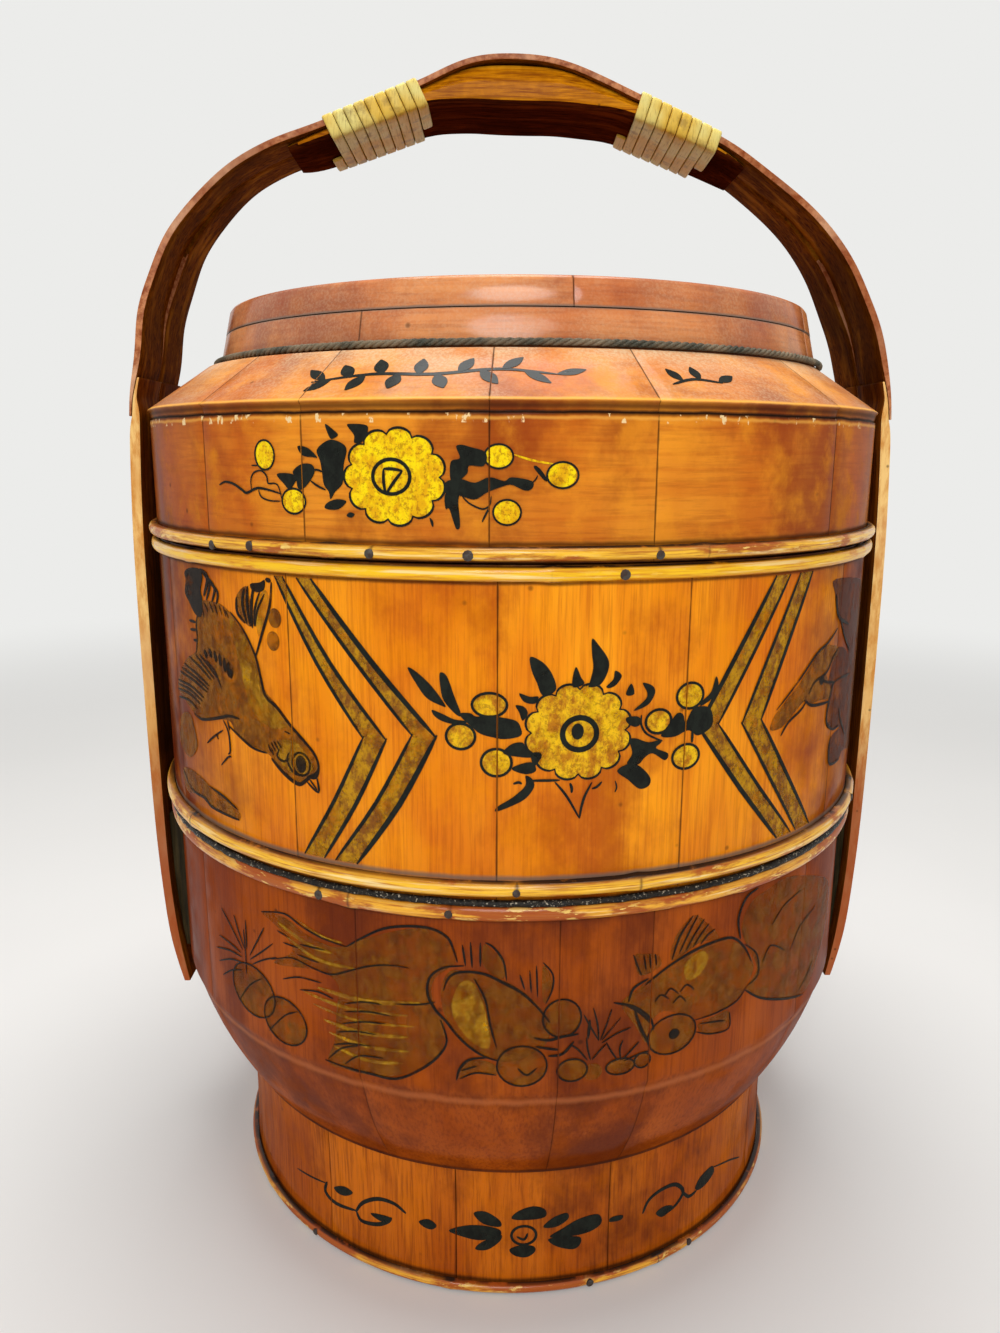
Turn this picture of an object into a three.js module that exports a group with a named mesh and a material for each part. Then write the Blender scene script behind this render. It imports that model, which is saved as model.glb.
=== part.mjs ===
// Stacked food basket: a footed base tier, a middle tier and a lid, coopered from wooden staves, bound with
// split bamboo and carried by a bent lath handle. Millimetres, +Z up, the floor at Z 0, the front towards -Y.
// Angles round the basket are in degrees from the front, growing towards +X.
import * as THREE from "three";
import { mergeVertices } from "three/addons/utils/BufferGeometryUtils.js";

// Clearances and facets
const SEAT_GAP = 0.3; // between pieces that touch
const LAP_CLEARANCE = 1; // between a tongue and the skirt that goes round it
const RING_STEPS = 48;
const STAVE_FACET_DEG = 9;

// Walls shared by the tiers
const TIER_RADIUS = 137.7; // of the middle tier and the lid, and what the other radii are measured from
const WALL_THICKNESS = 9;
const SKIRT_THICKNESS = 4.1;
const TONGUE_HEIGHT = 5;
const RIM_GAP = 0.4; // between a rim and the tier above it
const BOARD_THICKNESS = 6.5;
const BOARD_BEVEL = 1;
const CROZE_DEPTH = 2.6; // how far a board sits in the staves

// Foot ring
const FOOT_HEIGHT = 50.7;
const FOOT_SETBACK = 3; // from the waist in to the foot
const FOOT_THICKNESS = 9.4;
const FOOT_HOLLOWING = 0.7; // how far the foot draws in at mid height

// Base tier
const BASE_SETBACK = 1.3; // from the middle tier's wall in to the base's
const ARRIS_SETBACK = 1.2; // from the base's wall in to its arris
const ARRIS_ROUND = 3.6;
const WAIST_SETBACK = 19.8; // from the base's wall in to its waist
const WAIST_LIP = 0.8; // height of the square edge at the waist
const BAND_HEIGHT = 42.4;
const BAND_BULGE = 2; // how far the band swells out of a straight cone
const BASE_WALL_HEIGHT = 68.3;
const BASE_FLOOR_RISE = 9; // from the waist to the underside of the floor

// Middle tier
const MIDDLE_HEIGHT = 100.2;
const MIDDLE_FLOOR_RISE = 3.5; // from the top of the lap to the underside of the floor

// Lid
const LID_WALL_HEIGHT = 40.6;
const BEAD_OVERHANG = 1.2; // how far the bead stands out of the wall
const BEAD_HEIGHT = 3.2;
const SHOULDER_RISE = 15.4;
const SHOULDER_THICKNESS = 17.5;
const SHOULDER_WIDTH = 23.8; // from the wall in to the collar
const PANEL_THICKNESS = 7;
const LEDGE_THICKNESS = 6.5; // of the staves under the panel
const LEDGE_WIDTH = 5.7; // how far the panel rests on the staves

// Collar on the lid
const COLLAR_THICKNESS = 10.9; // at its foot
const COLLAR_TAPER = 3.7; // how far it draws in to its top edge
const COLLAR_LOWER_HEIGHT = 11.3;
const COLLAR_UPPER_HEIGHT = 8.9;
const COLLAR_ROUND = 1.2;
const CORD_DIAMETER = 2.9;

// Hoops of split bamboo: height, how far each stands out of its wall, and its distance from the rim
const LID_HOOP = { height: 4.1, depth: 3.3, rise: 0.5 };
const MIDDLE_TOP_HOOP = { height: 4.3, depth: 2.7, drop: 0.4 };
const MIDDLE_BOTTOM_HOOP = { height: 4.8, depth: 3.4, rise: 2 };
const BASE_HOOP = { height: 5.4, depth: 3.6, drop: 0.5 };
const FOOT_HOOP = { height: 3.4, depth: 2.7, rise: 0.3 };

// Staves: the seam where each tier's first stave starts, and the widths going round
const BASE_FIRST_SEAM_DEG = -22.3;
const MIDDLE_FIRST_SEAM_DEG = -30.6;
const LID_FIRST_SEAM_DEG = -45;
const BASE_WIDTH_SHARES = [27, 12.6, 30, 33, 31, 34, 32, 33, 31, 34, 30, 32.4];
const MIDDLE_WIDTH_SHARES = [27.2, 23.6, 31, 30, 32, 30, 31, 33, 30, 31, 32, 29.2];
const LID_WIDTH_SHARES = [17.6, 23, 19.4, 30, 33, 34, 32, 35, 33, 34, 34, 35];

// Handle
const HANDLE_CLEARANCE = 1.1; // between the uprights and the hoop that stands out furthest
const HAND_ROOM = 88.9; // from the collar up to the crown
const HANDLE_WIDTH = 52;
const CROWN_WIDTH = 38;
const TAPER_START_RISE = 13; // above the splice, where the handle begins to narrow
const TAPER_END_DROP = 36.3; // below the crown, where it is narrow
const UPRIGHT_THICKNESS = 4.2;
const SPLICE_DROP = 1.5; // from the lid's shoulder down to the bow's ends
const SPLICE_LENGTH = 14; // of the uprights' tongues inside the bow
const SPLICE_GAP = 0.4;
const FEATHER_LENGTH = 26; // over which the bow's ends thicken
const BOW_END_THICKNESS = 0.8;
const BOW_ARM_THICKNESS = 2.5;
const BOW_CROWN_THICKNESS = 1.9;
const REAR_INSET = 1.5; // how far the rear bow lath stands inside the front one on the arms
const BATTEN_WIDTH = 42;
const BATTEN_DROP = 9.8; // below the base hoop
const BATTEN_OVERHANG = 7.4; // below the arris

// Grip and its bindings
const GRIP_THICKNESS = 13.2;
const GRIP_SETBACK = 0.2; // from the bow's edge in to the side of the grip
const GRIP_TOP_BEVEL = 2.4;
const GRIP_EDGE = 1.2;
const CROWN_GAP = 1.4; // between the bow and the grip at the crown
const CROWN_GAP_REACH = 26;
const BINDING_PITCH = 4.05;
const STRIP_THICKNESS = 1.1;
const STRIP_SPACING = 0.55; // between neighbouring turns
const BINDING_CLEARANCE = 0.45;
const BINDING_CORNER = 1.5;
const LEFT_BINDING = { startShare: -0.4754, turns: 9 }; // where each starts, as a share of the half span
const RIGHT_BINDING = { startShare: 0.3087, turns: 8 };

// The bow's outer face as shares of the half span and of the rise above the splice
const BOW_SHARES = [
  [-0.9836, 0], [-0.9802, 0.055], [-0.9693, 0.119], [-0.957, 0.193], [-0.9481, 0.3], [-0.9126, 0.415],
  [-0.8593, 0.54], [-0.7302, 0.69], [-0.6066, 0.77], [-0.4898, 0.816], [-0.25, 0.922], [-0.1154, 0.988],
  [0.006, 1], [0.128, 0.982], [0.299, 0.904], [0.52, 0.789], [0.619, 0.719], [0.761, 0.5986],
  [0.855, 0.4735], [0.9105, 0.347], [0.9447, 0.25], [0.97, 0.121], [0.9802, 0.055], [0.9836, 0],
];
// The upright below the splice: shares of the height where the bow is full, and of the half span for its
// inner and outer faces
const UPRIGHT_SHARES = [
  [0.2175, 0.9303, 0.9467], [0.2296, 0.9351, 0.9536], [0.2568, 0.946, 0.9679], [0.2931, 0.9563, 0.9816],
  [0.3535, 0.9665, 0.9898], [0.4079, 0.9699, 0.9959], [0.4985, 0.9713, 1], [0.7553, 0.9713, 1],
  [0.8308, 0.9672, 0.9939], [0.8761, 0.962, 0.989], [0.9094, 0.9579, 0.985],
];
// The upright's tongue inside the bow: shares of the splice's length and of the upright's thickness
const SPLICE_SHARES = [[0, 0.67], [0.27, 0.55], [0.5, 0.27], [0.77, 0.24], [1, 0.2]];
// The grip: shares of the half span, of its thickness and of its width
const GRIP_SHARES = [
  [-0.574, 0.17, 0.8], [-0.54, 0.23, 0.93], [-0.47, 0.28, 1], [-0.25, 0.38, 1], [-0.2, 0.62, 1],
  [-0.13, 0.9, 1], [-0.06, 1, 1], [0.07, 1, 1], [0.14, 0.89, 1], [0.24, 0.6, 1], [0.29, 0.38, 1],
  [0.5, 0.2, 1], [0.56, 0.16, 0.93], [0.594, 0.12, 0.8],
];
const GRIP_BEVEL_SHARE = 0.4; // of the thickness, taken by the bevel along the top edges

// Finishes
const finish = (color, roughness, metalness = 0) =>
  new THREE.MeshStandardMaterial({ color, roughness, metalness });
const AMBER_LACQUER = finish(0xb5520f, 0.3);
const RED_LACQUER = finish(0x9c3d12, 0.3);
const DARK_LACQUER = finish(0x7a2a0e, 0.32);
const BARE_BOARD = finish(0xa9733c, 0.7);
const HOOP_BAMBOO = finish(0xd08a1c, 0.4);
const LATH_BAMBOO = finish(0x8a4a1c, 0.45);
const GRIP_WOOD = finish(0xa85f16, 0.4);
const RATTAN = finish(0xd9c36a, 0.5);
const CORD_FIBRE = finish(0x3f4a44, 0.9);
const BATTEN_WOOD = finish(0x3b3a28, 0.7);

const basket = new THREE.Group();

// A tier is built from its lower rim up, in a group that stands at the height of that rim
function addTier(z) {
  const tier = new THREE.Group();
  tier.position.z = z;
  basket.add(tier);
  return tier;
}

function addPiece(group, name, geometry, material, z = 0) {
  const mesh = new THREE.Mesh(geometry, material);
  mesh.name = name;
  mesh.position.z = z;
  group.add(mesh);
  return mesh;
}

const radians = THREE.MathUtils.degToRad;
const lerp = THREE.MathUtils.lerp;
const lapHeight = TONGUE_HEIGHT + RIM_GAP; // depth of the rebate over a tongue

// Radii inside a wall of outer radius r
const innerRadius = (r) => r - WALL_THICKNESS;
const skirtRadius = (r) => r - SKIRT_THICKNESS;
const tongueRadius = TIER_RADIUS - SKIRT_THICKNESS - LAP_CLEARANCE;

// Radii of the other walls
const baseRadius = TIER_RADIUS - BASE_SETBACK;
const arrisRadius = baseRadius - ARRIS_SETBACK;
const waistRadius = baseRadius - WAIST_SETBACK;
const footRadius = waistRadius - FOOT_SETBACK;
const beadRadius = TIER_RADIUS + BEAD_OVERHANG;
const collarFootRadius = TIER_RADIUS - SHOULDER_WIDTH;
const collarInner = collarFootRadius - COLLAR_THICKNESS;
const panelRadius = collarInner - SEAT_GAP;

// A solid through matching sections. Each section holds the points of the outline, which runs anticlockwise
// when it is looked at along the way the sections came
function loft(sections, outline, closed = false) {
  const count = outline.length;
  const spans = closed ? sections.length : sections.length - 1;
  const index = [];
  for (let j = 0; j < spans; j++) {
    const here = j * count;
    const next = ((j + 1) % sections.length) * count;
    for (let i = 0; i < count; i++) {
      const k = (i + 1) % count;
      index.push(here + i, next + i, next + k, here + i, next + k, here + k);
    }
  }
  if (!closed) {
    const last = spans * count;
    for (const [a, b, c] of THREE.ShapeUtils.triangulateShape(outline, [])) {
      index.push(a, b, c, last + a, last + c, last + b);
    }
  }
  const geometry = new THREE.BufferGeometry().setFromPoints(sections.flat());
  geometry.setIndex(index);
  return geometry;
}

const toOutline = (rows) => rows.map(([x, y]) => new THREE.Vector2(x, y));

// A [radius, height] profile, listed anticlockwise, turned through part of the circle or all of it
function turned(profile, startDeg = 0, endDeg = 360, steps = RING_STEPS) {
  const closed = endDeg - startDeg === 360;
  const outline = toOutline(profile);
  const sections = Array.from({ length: closed ? steps : steps + 1 }, (_, j) => {
    const angle = radians(lerp(startDeg, endDeg, j / steps));
    return outline.map(({ x, y }) => new THREE.Vector3(x * Math.sin(angle), -x * Math.cos(angle), y));
  });
  return loft(sections, outline, closed);
}

// The ring on which a hoop sits clear of a wall's corners
const roundOutside = (r) => (r + SEAT_GAP) / Math.cos(Math.PI / RING_STEPS);

// Staves: each is turned through its own width, then swung round to its seam
function addStaves(tier, name, profile, firstSeamDeg, widthShares, material) {
  const total = widthShares.reduce((sum, share) => sum + share, 0);
  const outer = Math.max(...profile.map(([r]) => r));
  const halfGapDeg = THREE.MathUtils.radToDeg(SEAT_GAP / outer) / 2;
  let seam = firstSeamDeg;
  widthShares.forEach((share, i) => {
    const width = (share / total) * 360;
    const steps = Math.ceil(width / STAVE_FACET_DEG);
    const geometry = turned(profile, halfGapDeg, width - halfGapDeg, steps);
    const stave = addPiece(tier, `${name}_${String(i + 1).padStart(2, "0")}`, geometry, material);
    stave.rotation.z = radians(seam);
    seam += width;
  });
}

// A round board with bevelled rims that stands in a groove of that radius
function boardFor(grooveRadius, thickness) {
  const r = (grooveRadius - SEAT_GAP) * Math.cos(radians(STAVE_FACET_DEG / 2));
  const profile = [
    [0, 0],
    [r - BOARD_BEVEL, 0],
    [r, BOARD_BEVEL],
    [r, thickness - BOARD_BEVEL],
    [r - BOARD_BEVEL, thickness],
    [0, thickness],
  ];
  const board = new THREE.LatheGeometry(toOutline(profile), RING_STEPS);
  board.deleteAttribute("normal");
  board.deleteAttribute("uv");
  return mergeVertices(board.rotateX(Math.PI / 2));
}

// A hoop: flat against the wall, rounded outside
const HOOP_ARC_STEPS = 4;
function hoop(wallRadius, { height, depth }) {
  const inner = roundOutside(wallRadius);
  const arc = Array.from({ length: HOOP_ARC_STEPS - 1 }, (_, i) => {
    const angle = (Math.PI * (i + 1)) / HOOP_ARC_STEPS;
    const r = lerp(inner, wallRadius + depth, Math.sin(angle));
    return [r, (height / 2) * (1 - Math.cos(angle))];
  });
  return turned([[inner, 0], ...arc, [inner, height]]);
}

// Foot ring: slightly waisted, with a flat foot
const foot = addTier(0);
addPiece(
  foot,
  "foot_ring",
  turned([
    [footRadius, 0],
    [footRadius, FOOT_HOOP.height],
    [footRadius - FOOT_HOLLOWING, FOOT_HEIGHT / 2],
    [footRadius, FOOT_HEIGHT],
    [footRadius - FOOT_THICKNESS, FOOT_HEIGHT],
    [footRadius - FOOT_THICKNESS, 0],
  ]),
  DARK_LACQUER,
);
addPiece(foot, "foot_hoop", hoop(footRadius, FOOT_HOOP), HOOP_BAMBOO, FOOT_HOOP.rise);

// Base tier: a straight wall above an arris, and a swelling band that draws in to the waist
const waistZ = FOOT_HEIGHT + SEAT_GAP;
const baseTier = addTier(waistZ);
const bandRadius = (share) =>
  lerp(waistRadius, arrisRadius, share) + BAND_BULGE * Math.sin(Math.PI * share);
const bandInner = (share) => bandRadius(share) - WALL_THICKNESS;
const baseInner = innerRadius(baseRadius);
const baseRim = BAND_HEIGHT + BASE_WALL_HEIGHT;
const baseFloorTop = BASE_FLOOR_RISE + BOARD_THICKNESS + SEAT_GAP;
const floorShare = BASE_FLOOR_RISE / BAND_HEIGHT;
const floorTopShare = baseFloorTop / BAND_HEIGHT;
const BAND_STEP_SHARES = [1 / 3, 2 / 3];
const baseCroze = bandInner(floorTopShare) + CROZE_DEPTH;
addStaves(
  baseTier,
  "base_stave",
  [
    [waistRadius, 0],
    [waistRadius, WAIST_LIP],
    ...BAND_STEP_SHARES.map((share) => [bandRadius(share), share * BAND_HEIGHT]),
    [arrisRadius, BAND_HEIGHT],
    [baseRadius, BAND_HEIGHT + ARRIS_ROUND],
    [baseRadius, baseRim],
    [tongueRadius, baseRim],
    [tongueRadius, baseRim + TONGUE_HEIGHT],
    [baseInner, baseRim + TONGUE_HEIGHT],
    [baseInner, BAND_HEIGHT + ARRIS_ROUND],
    [bandInner(BAND_STEP_SHARES[1]), BAND_STEP_SHARES[1] * BAND_HEIGHT],
    [bandInner(floorTopShare), baseFloorTop],
    [baseCroze, baseFloorTop],
    [baseCroze, BASE_FLOOR_RISE - SEAT_GAP],
    [bandInner(floorShare), BASE_FLOOR_RISE - SEAT_GAP],
    [bandInner(0), 0],
  ],
  BASE_FIRST_SEAM_DEG,
  BASE_WIDTH_SHARES,
  RED_LACQUER,
);
addPiece(baseTier, "base_floor", boardFor(baseCroze, BOARD_THICKNESS), BARE_BOARD, BASE_FLOOR_RISE);
const baseHoopRise = baseRim - BASE_HOOP.drop - BASE_HOOP.height;
addPiece(baseTier, "base_hoop", hoop(baseRadius, BASE_HOOP), HOOP_BAMBOO, baseHoopRise);

// Middle tier: a skirt round the base's tongue, a floor in its groove and a tongue of its own
const middleBottomZ = waistZ + baseRim + RIM_GAP;
const middleTier = addTier(middleBottomZ);
const tierInner = innerRadius(TIER_RADIUS);
const middleFloor = lapHeight + MIDDLE_FLOOR_RISE;
const middleFloorTop = middleFloor + BOARD_THICKNESS + SEAT_GAP;
const middleCroze = tierInner + CROZE_DEPTH;
addStaves(
  middleTier,
  "middle_stave",
  [
    [TIER_RADIUS, 0],
    [TIER_RADIUS, MIDDLE_HEIGHT],
    [tongueRadius, MIDDLE_HEIGHT],
    [tongueRadius, MIDDLE_HEIGHT + TONGUE_HEIGHT],
    [tierInner, MIDDLE_HEIGHT + TONGUE_HEIGHT],
    [tierInner, middleFloorTop],
    [middleCroze, middleFloorTop],
    [middleCroze, middleFloor - SEAT_GAP],
    [tierInner, middleFloor - SEAT_GAP],
    [tierInner, lapHeight],
    [skirtRadius(TIER_RADIUS), lapHeight],
    [skirtRadius(TIER_RADIUS), 0],
  ],
  MIDDLE_FIRST_SEAM_DEG,
  MIDDLE_WIDTH_SHARES,
  AMBER_LACQUER,
);
addPiece(middleTier, "middle_floor", boardFor(middleCroze, BOARD_THICKNESS), BARE_BOARD, middleFloor);
const lowerHoop = hoop(TIER_RADIUS, MIDDLE_BOTTOM_HOOP);
addPiece(middleTier, "middle_bottom_hoop", lowerHoop, HOOP_BAMBOO, MIDDLE_BOTTOM_HOOP.rise);
const upperHoop = hoop(TIER_RADIUS, MIDDLE_TOP_HOOP);
const upperHoopRise = MIDDLE_HEIGHT - MIDDLE_TOP_HOOP.drop - MIDDLE_TOP_HOOP.height;
addPiece(middleTier, "middle_top_hoop", upperHoop, HOOP_BAMBOO, upperHoopRise);

// Lid: a skirt, a beaded edge and a shoulder that slopes up to the collar, carved in one with each stave
const lidBottomZ = middleBottomZ + MIDDLE_HEIGHT + RIM_GAP;
const lid = addTier(lidBottomZ);
const shoulder = LID_WALL_HEIGHT + BEAD_HEIGHT;
const collarSeat = shoulder + SHOULDER_RISE;
const panelSeat = collarSeat - PANEL_THICKNESS;
const domeUnder = panelSeat - LEDGE_THICKNESS;
const beadRound = BEAD_OVERHANG / 2;
addStaves(
  lid,
  "lid_stave",
  [
    [TIER_RADIUS, 0],
    [TIER_RADIUS, LID_WALL_HEIGHT],
    [beadRadius, LID_WALL_HEIGHT + beadRound],
    [beadRadius, shoulder - beadRound],
    [beadRadius - beadRound, shoulder],
    [collarFootRadius + CORD_DIAMETER, collarSeat - SEAT_GAP],
    [panelRadius, collarSeat - SEAT_GAP],
    [panelRadius, panelSeat],
    [panelRadius - LEDGE_WIDTH, panelSeat],
    [panelRadius - LEDGE_WIDTH, domeUnder],
    [tierInner, shoulder - SHOULDER_THICKNESS],
    [tierInner, lapHeight],
    [skirtRadius(TIER_RADIUS), lapHeight],
    [skirtRadius(TIER_RADIUS), 0],
  ],
  LID_FIRST_SEAM_DEG,
  LID_WIDTH_SHARES,
  RED_LACQUER,
);
addPiece(lid, "lid_hoop", hoop(TIER_RADIUS, LID_HOOP), HOOP_BAMBOO, LID_HOOP.rise);
addPiece(lid, "lid_panel", boardFor(panelRadius, PANEL_THICKNESS), RED_LACQUER, panelSeat + SEAT_GAP);

// Collar: two bands, one on the other, with a fine groove between them and a rounded top edge
const collarSplit = COLLAR_LOWER_HEIGHT + SEAT_GAP;
const collarHeight = collarSplit + COLLAR_UPPER_HEIGHT;
const collarRadius = (height) => collarFootRadius - COLLAR_TAPER * (height / collarHeight);
addPiece(
  lid,
  "collar_lower",
  turned([
    [collarRadius(0), 0],
    [collarRadius(collarSplit), COLLAR_LOWER_HEIGHT],
    [collarInner, COLLAR_LOWER_HEIGHT],
    [collarInner, 0],
  ]),
  RED_LACQUER,
  collarSeat,
);
addPiece(
  lid,
  "collar_upper",
  turned([
    [collarRadius(collarSplit), 0],
    [collarRadius(collarHeight - COLLAR_ROUND), COLLAR_UPPER_HEIGHT - COLLAR_ROUND],
    [collarRadius(collarHeight) - COLLAR_ROUND, COLLAR_UPPER_HEIGHT],
    [collarInner, COLLAR_UPPER_HEIGHT],
    [collarInner, 0],
  ]),
  RED_LACQUER,
  collarSeat + collarSplit,
);

// A ring of round cord lying in the corner between shoulder and collar
const CORD_SIDES = 8;
const cordRadius = CORD_DIAMETER / 2;
const cordRingRadius = roundOutside(collarFootRadius) + cordRadius;
const cordSection = Array.from({ length: CORD_SIDES }, (_, i) => {
  const angle = (i / CORD_SIDES) * Math.PI * 2;
  return [cordRingRadius + cordRadius * Math.cos(angle), cordRadius * Math.sin(angle)];
});
addPiece(lid, "collar_cord", turned(cordSection), CORD_FIBRE, collarSeat + cordRadius + SEAT_GAP);

// The handle is drawn at its full height, from the floor. It clears the widest hoop at its sides, and its
// heights are measured from the lid
const handle = addTier(0);
const widestHoop = Math.max(
  TIER_RADIUS + LID_HOOP.depth,
  TIER_RADIUS + MIDDLE_TOP_HOOP.depth,
  TIER_RADIUS + MIDDLE_BOTTOM_HOOP.depth,
  baseRadius + BASE_HOOP.depth,
);
const halfSpan = widestHoop + HANDLE_CLEARANCE + UPRIGHT_THICKNESS; // to the outer faces of the uprights
const crownZ = lidBottomZ + collarSeat + collarHeight + HAND_ROOM;
const spliceZ = lidBottomZ + shoulder - SPLICE_DROP; // the bow's lower ends
const uprightTopZ = spliceZ + SPLICE_LENGTH;
const bowFullZ = spliceZ + FEATHER_LENGTH; // where the bow reaches its full thickness
const taperStartZ = spliceZ + TAPER_START_RISE;
const taperEndZ = crownZ - TAPER_END_DROP;

// Bow: its outer face is a curve through the shares, and the laths' thickness lies inside it
const bowRise = crownZ - spliceZ;
const bowCurve = new THREE.SplineCurve(
  BOW_SHARES.map(([x, z]) => new THREE.Vector2(x * halfSpan, spliceZ + z * bowRise)),
);
const BOW_STEPS = 56;
const BOW_SAMPLES = 800;
bowCurve.arcLengthDivisions = BOW_SAMPLES;
const bowLength = bowCurve.getLength();
const bowSamples = Array.from({ length: BOW_SAMPLES + 1 }, (_, i) => i / BOW_SAMPLES);

// Thickness: full on the arms, thinner over the crown and feathered out to the splice
function bowThickness({ x, y: z }) {
  const feather = THREE.MathUtils.smoothstep(z, spliceZ, bowFullZ);
  const full = lerp(BOW_CROWN_THICKNESS, BOW_ARM_THICKNESS, Math.min(1, Math.abs(x) / halfSpan));
  return lerp(BOW_END_THICKNESS, full, feather);
}

// The point at a share of the bow's length, and at a depth below its outer face
function bowPoint(share, depth, y) {
  const point = bowCurve.getPointAt(share);
  const tangent = bowCurve.getTangentAt(share);
  return new THREE.Vector3(point.x + tangent.y * depth, y, point.y - tangent.x * depth);
}
const bowDepth = (share) => bowThickness(bowCurve.getPointAt(share));

// Half the handle's width at a height
function halfWidth(z) {
  const share = THREE.MathUtils.clamp((z - taperStartZ) / (taperEndZ - taperStartZ), 0, 1);
  return lerp(CROWN_WIDTH, HANDLE_WIDTH, (1 + Math.cos(Math.PI * share)) / 2) / 2;
}

// The rear lath stands in on the arms and comes level with the front one at the splice and under the binding
function rearInset(z) {
  const share = THREE.MathUtils.clamp((z - bowFullZ) / (taperEndZ - bowFullZ), 0, 1);
  return REAR_INSET * Math.sin(Math.PI * share);
}

const LATH_OUTLINE = toOutline([[0, 0], [0, 1], [-1, 1], [-1, 0]]);
const LATHS = [
  { place: "front", edges: (half) => [-half, -SEAT_GAP / 2], inset: () => 0 },
  { place: "rear", edges: (half) => [SEAT_GAP / 2, half], inset: rearInset },
];
for (const { place, edges, inset } of LATHS) {
  const sections = Array.from({ length: BOW_STEPS + 1 }, (_, i) => {
    const share = i / BOW_STEPS;
    const z = bowCurve.getPointAt(share).y;
    const [near, far] = edges(halfWidth(z));
    const top = inset(z);
    const under = top + bowDepth(share);
    return [[top, near], [top, far], [under, far], [under, near]].map(([d, y]) => bowPoint(share, d, y));
  });
  addPiece(handle, `bow_lath_${place}`, loft(sections, LATH_OUTLINE), LATH_BAMBOO);
}

// Uprights: four flat laths, bent in at the foot, whose thin upper tongues lie inside the bow's ends
function bowInnerX(z, side) {
  const near = (share) => {
    const point = bowCurve.getPointAt(share);
    return Math.sign(point.x) === side ? Math.abs(point.y - z) : Infinity;
  };
  const share = bowSamples.reduce((best, next) => (near(next) < near(best) ? next : best));
  return Math.abs(bowPoint(share, bowDepth(share), 0).x);
}
function uprightStations(side) {
  const lower = UPRIGHT_SHARES.map(([z, inner, outer]) => ({
    z: z * bowFullZ,
    inner: inner * halfSpan,
    outer: outer * halfSpan,
  }));
  const upper = SPLICE_SHARES.map(([height, thickness]) => {
    const z = lerp(spliceZ, uprightTopZ, height);
    const outer = bowInnerX(z, side) - SPLICE_GAP;
    return { z, inner: outer - thickness * UPRIGHT_THICKNESS, outer };
  });
  return [...lower, ...upper];
}
const SIDES = [
  { place: "left", side: -1 },
  { place: "right", side: 1 },
];
for (const { place: sidePlace, side } of SIDES) {
  const stations = uprightStations(side);
  if (side > 0) stations.reverse();
  for (const { place, edges } of LATHS) {
    const sections = stations.map(({ z, inner, outer }) => {
      const [near, far] = edges(halfWidth(z));
      const corners = [[outer, near], [outer, far], [inner, far], [inner, near]];
      return corners.map(([x, y]) => new THREE.Vector3(side * x, y, z));
    });
    addPiece(handle, `upright_${place}_${sidePlace}`, loft(sections, LATH_OUTLINE), LATH_BAMBOO);
  }
}

// Battens: wedges that fill the space between the base tier's round wall and the flat uprights
const BATTEN_STEPS = 6;
const BATTEN_BACK_STEPS = 4;
const battenHalf = BATTEN_WIDTH / 2;
const battenBack = baseRadius + SEAT_GAP;
const battenTopZ = waistZ + baseHoopRise - BATTEN_DROP;
const battenEndZ = waistZ + BAND_HEIGHT - BATTEN_OVERHANG;
function uprightInner(z) {
  const stations = uprightStations(1);
  const next = stations.findIndex((station) => station.z > z);
  const [low, high] = [stations[next - 1], stations[next]];
  return lerp(low.inner, high.inner, (z - low.z) / (high.z - low.z));
}
for (const { place, side } of SIDES) {
  const section = (z) => {
    const front = uprightInner(z) - SEAT_GAP;
    const back = Array.from({ length: BATTEN_BACK_STEPS + 1 }, (_, i) => {
      const across = lerp(battenHalf, -battenHalf, i / BATTEN_BACK_STEPS);
      return [Math.sqrt(battenBack ** 2 - across ** 2), across];
    });
    return [[front, -battenHalf], [front, battenHalf], ...back];
  };
  const sections = Array.from({ length: BATTEN_STEPS + 1 }, (_, i) => {
    const z = lerp(battenEndZ, battenTopZ, i / BATTEN_STEPS);
    return section(z).map(([x, across]) => new THREE.Vector3(side * x, -side * across, z));
  });
  addPiece(handle, `side_batten_${place}`, loft(sections, toOutline(section(battenTopZ))), BATTEN_WOOD);
}

// Grip: a bevelled block under the crown that thins out beneath the bindings
function shareAtX(x) {
  const away = (share) => Math.abs(bowCurve.getPointAt(share).x - x);
  return bowSamples.reduce((best, next) => (away(next) < away(best) ? next : best));
}
const gripStations = GRIP_SHARES.map(([x, thickness, width]) => ({
  share: shareAtX(x * halfSpan),
  thickness: thickness * GRIP_THICKNESS,
  width: width * (CROWN_WIDTH - 2 * GRIP_SETBACK),
}));
function gripTop(share) {
  const reach = Math.min(1, Math.abs(bowCurve.getPointAt(share).x) / CROWN_GAP_REACH);
  return bowDepth(share) + lerp(CROWN_GAP, SEAT_GAP, THREE.MathUtils.smoothstep(reach, 0, 1));
}
function gripThickness(share) {
  const next = gripStations.findIndex((station) => station.share >= share);
  if (next < 1) return gripStations.at(next).thickness;
  const [low, high] = [gripStations[next - 1], gripStations[next]];
  return lerp(low.thickness, high.thickness, (share - low.share) / (high.share - low.share));
}
function gripSection({ share, thickness, width }) {
  const top = gripTop(share);
  const under = top + thickness;
  const half = width / 2;
  const bevel = top + GRIP_BEVEL_SHARE * thickness;
  const edge = Math.min(GRIP_EDGE, (under - bevel) / 2);
  return [
    [top, -half + GRIP_TOP_BEVEL],
    [top, half - GRIP_TOP_BEVEL],
    [bevel, half],
    [under - edge, half],
    [under, half - edge],
    [under, -half + edge],
    [under - edge, -half],
    [bevel, -half],
  ];
}
addPiece(
  handle,
  "grip_block",
  loft(
    gripStations.map((station) => gripSection(station).map(([d, y]) => bowPoint(station.share, d, y))),
    toOutline(gripSection(gripStations[0]).map(([d, y]) => [-d, y])),
  ),
  GRIP_WOOD,
);

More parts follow.
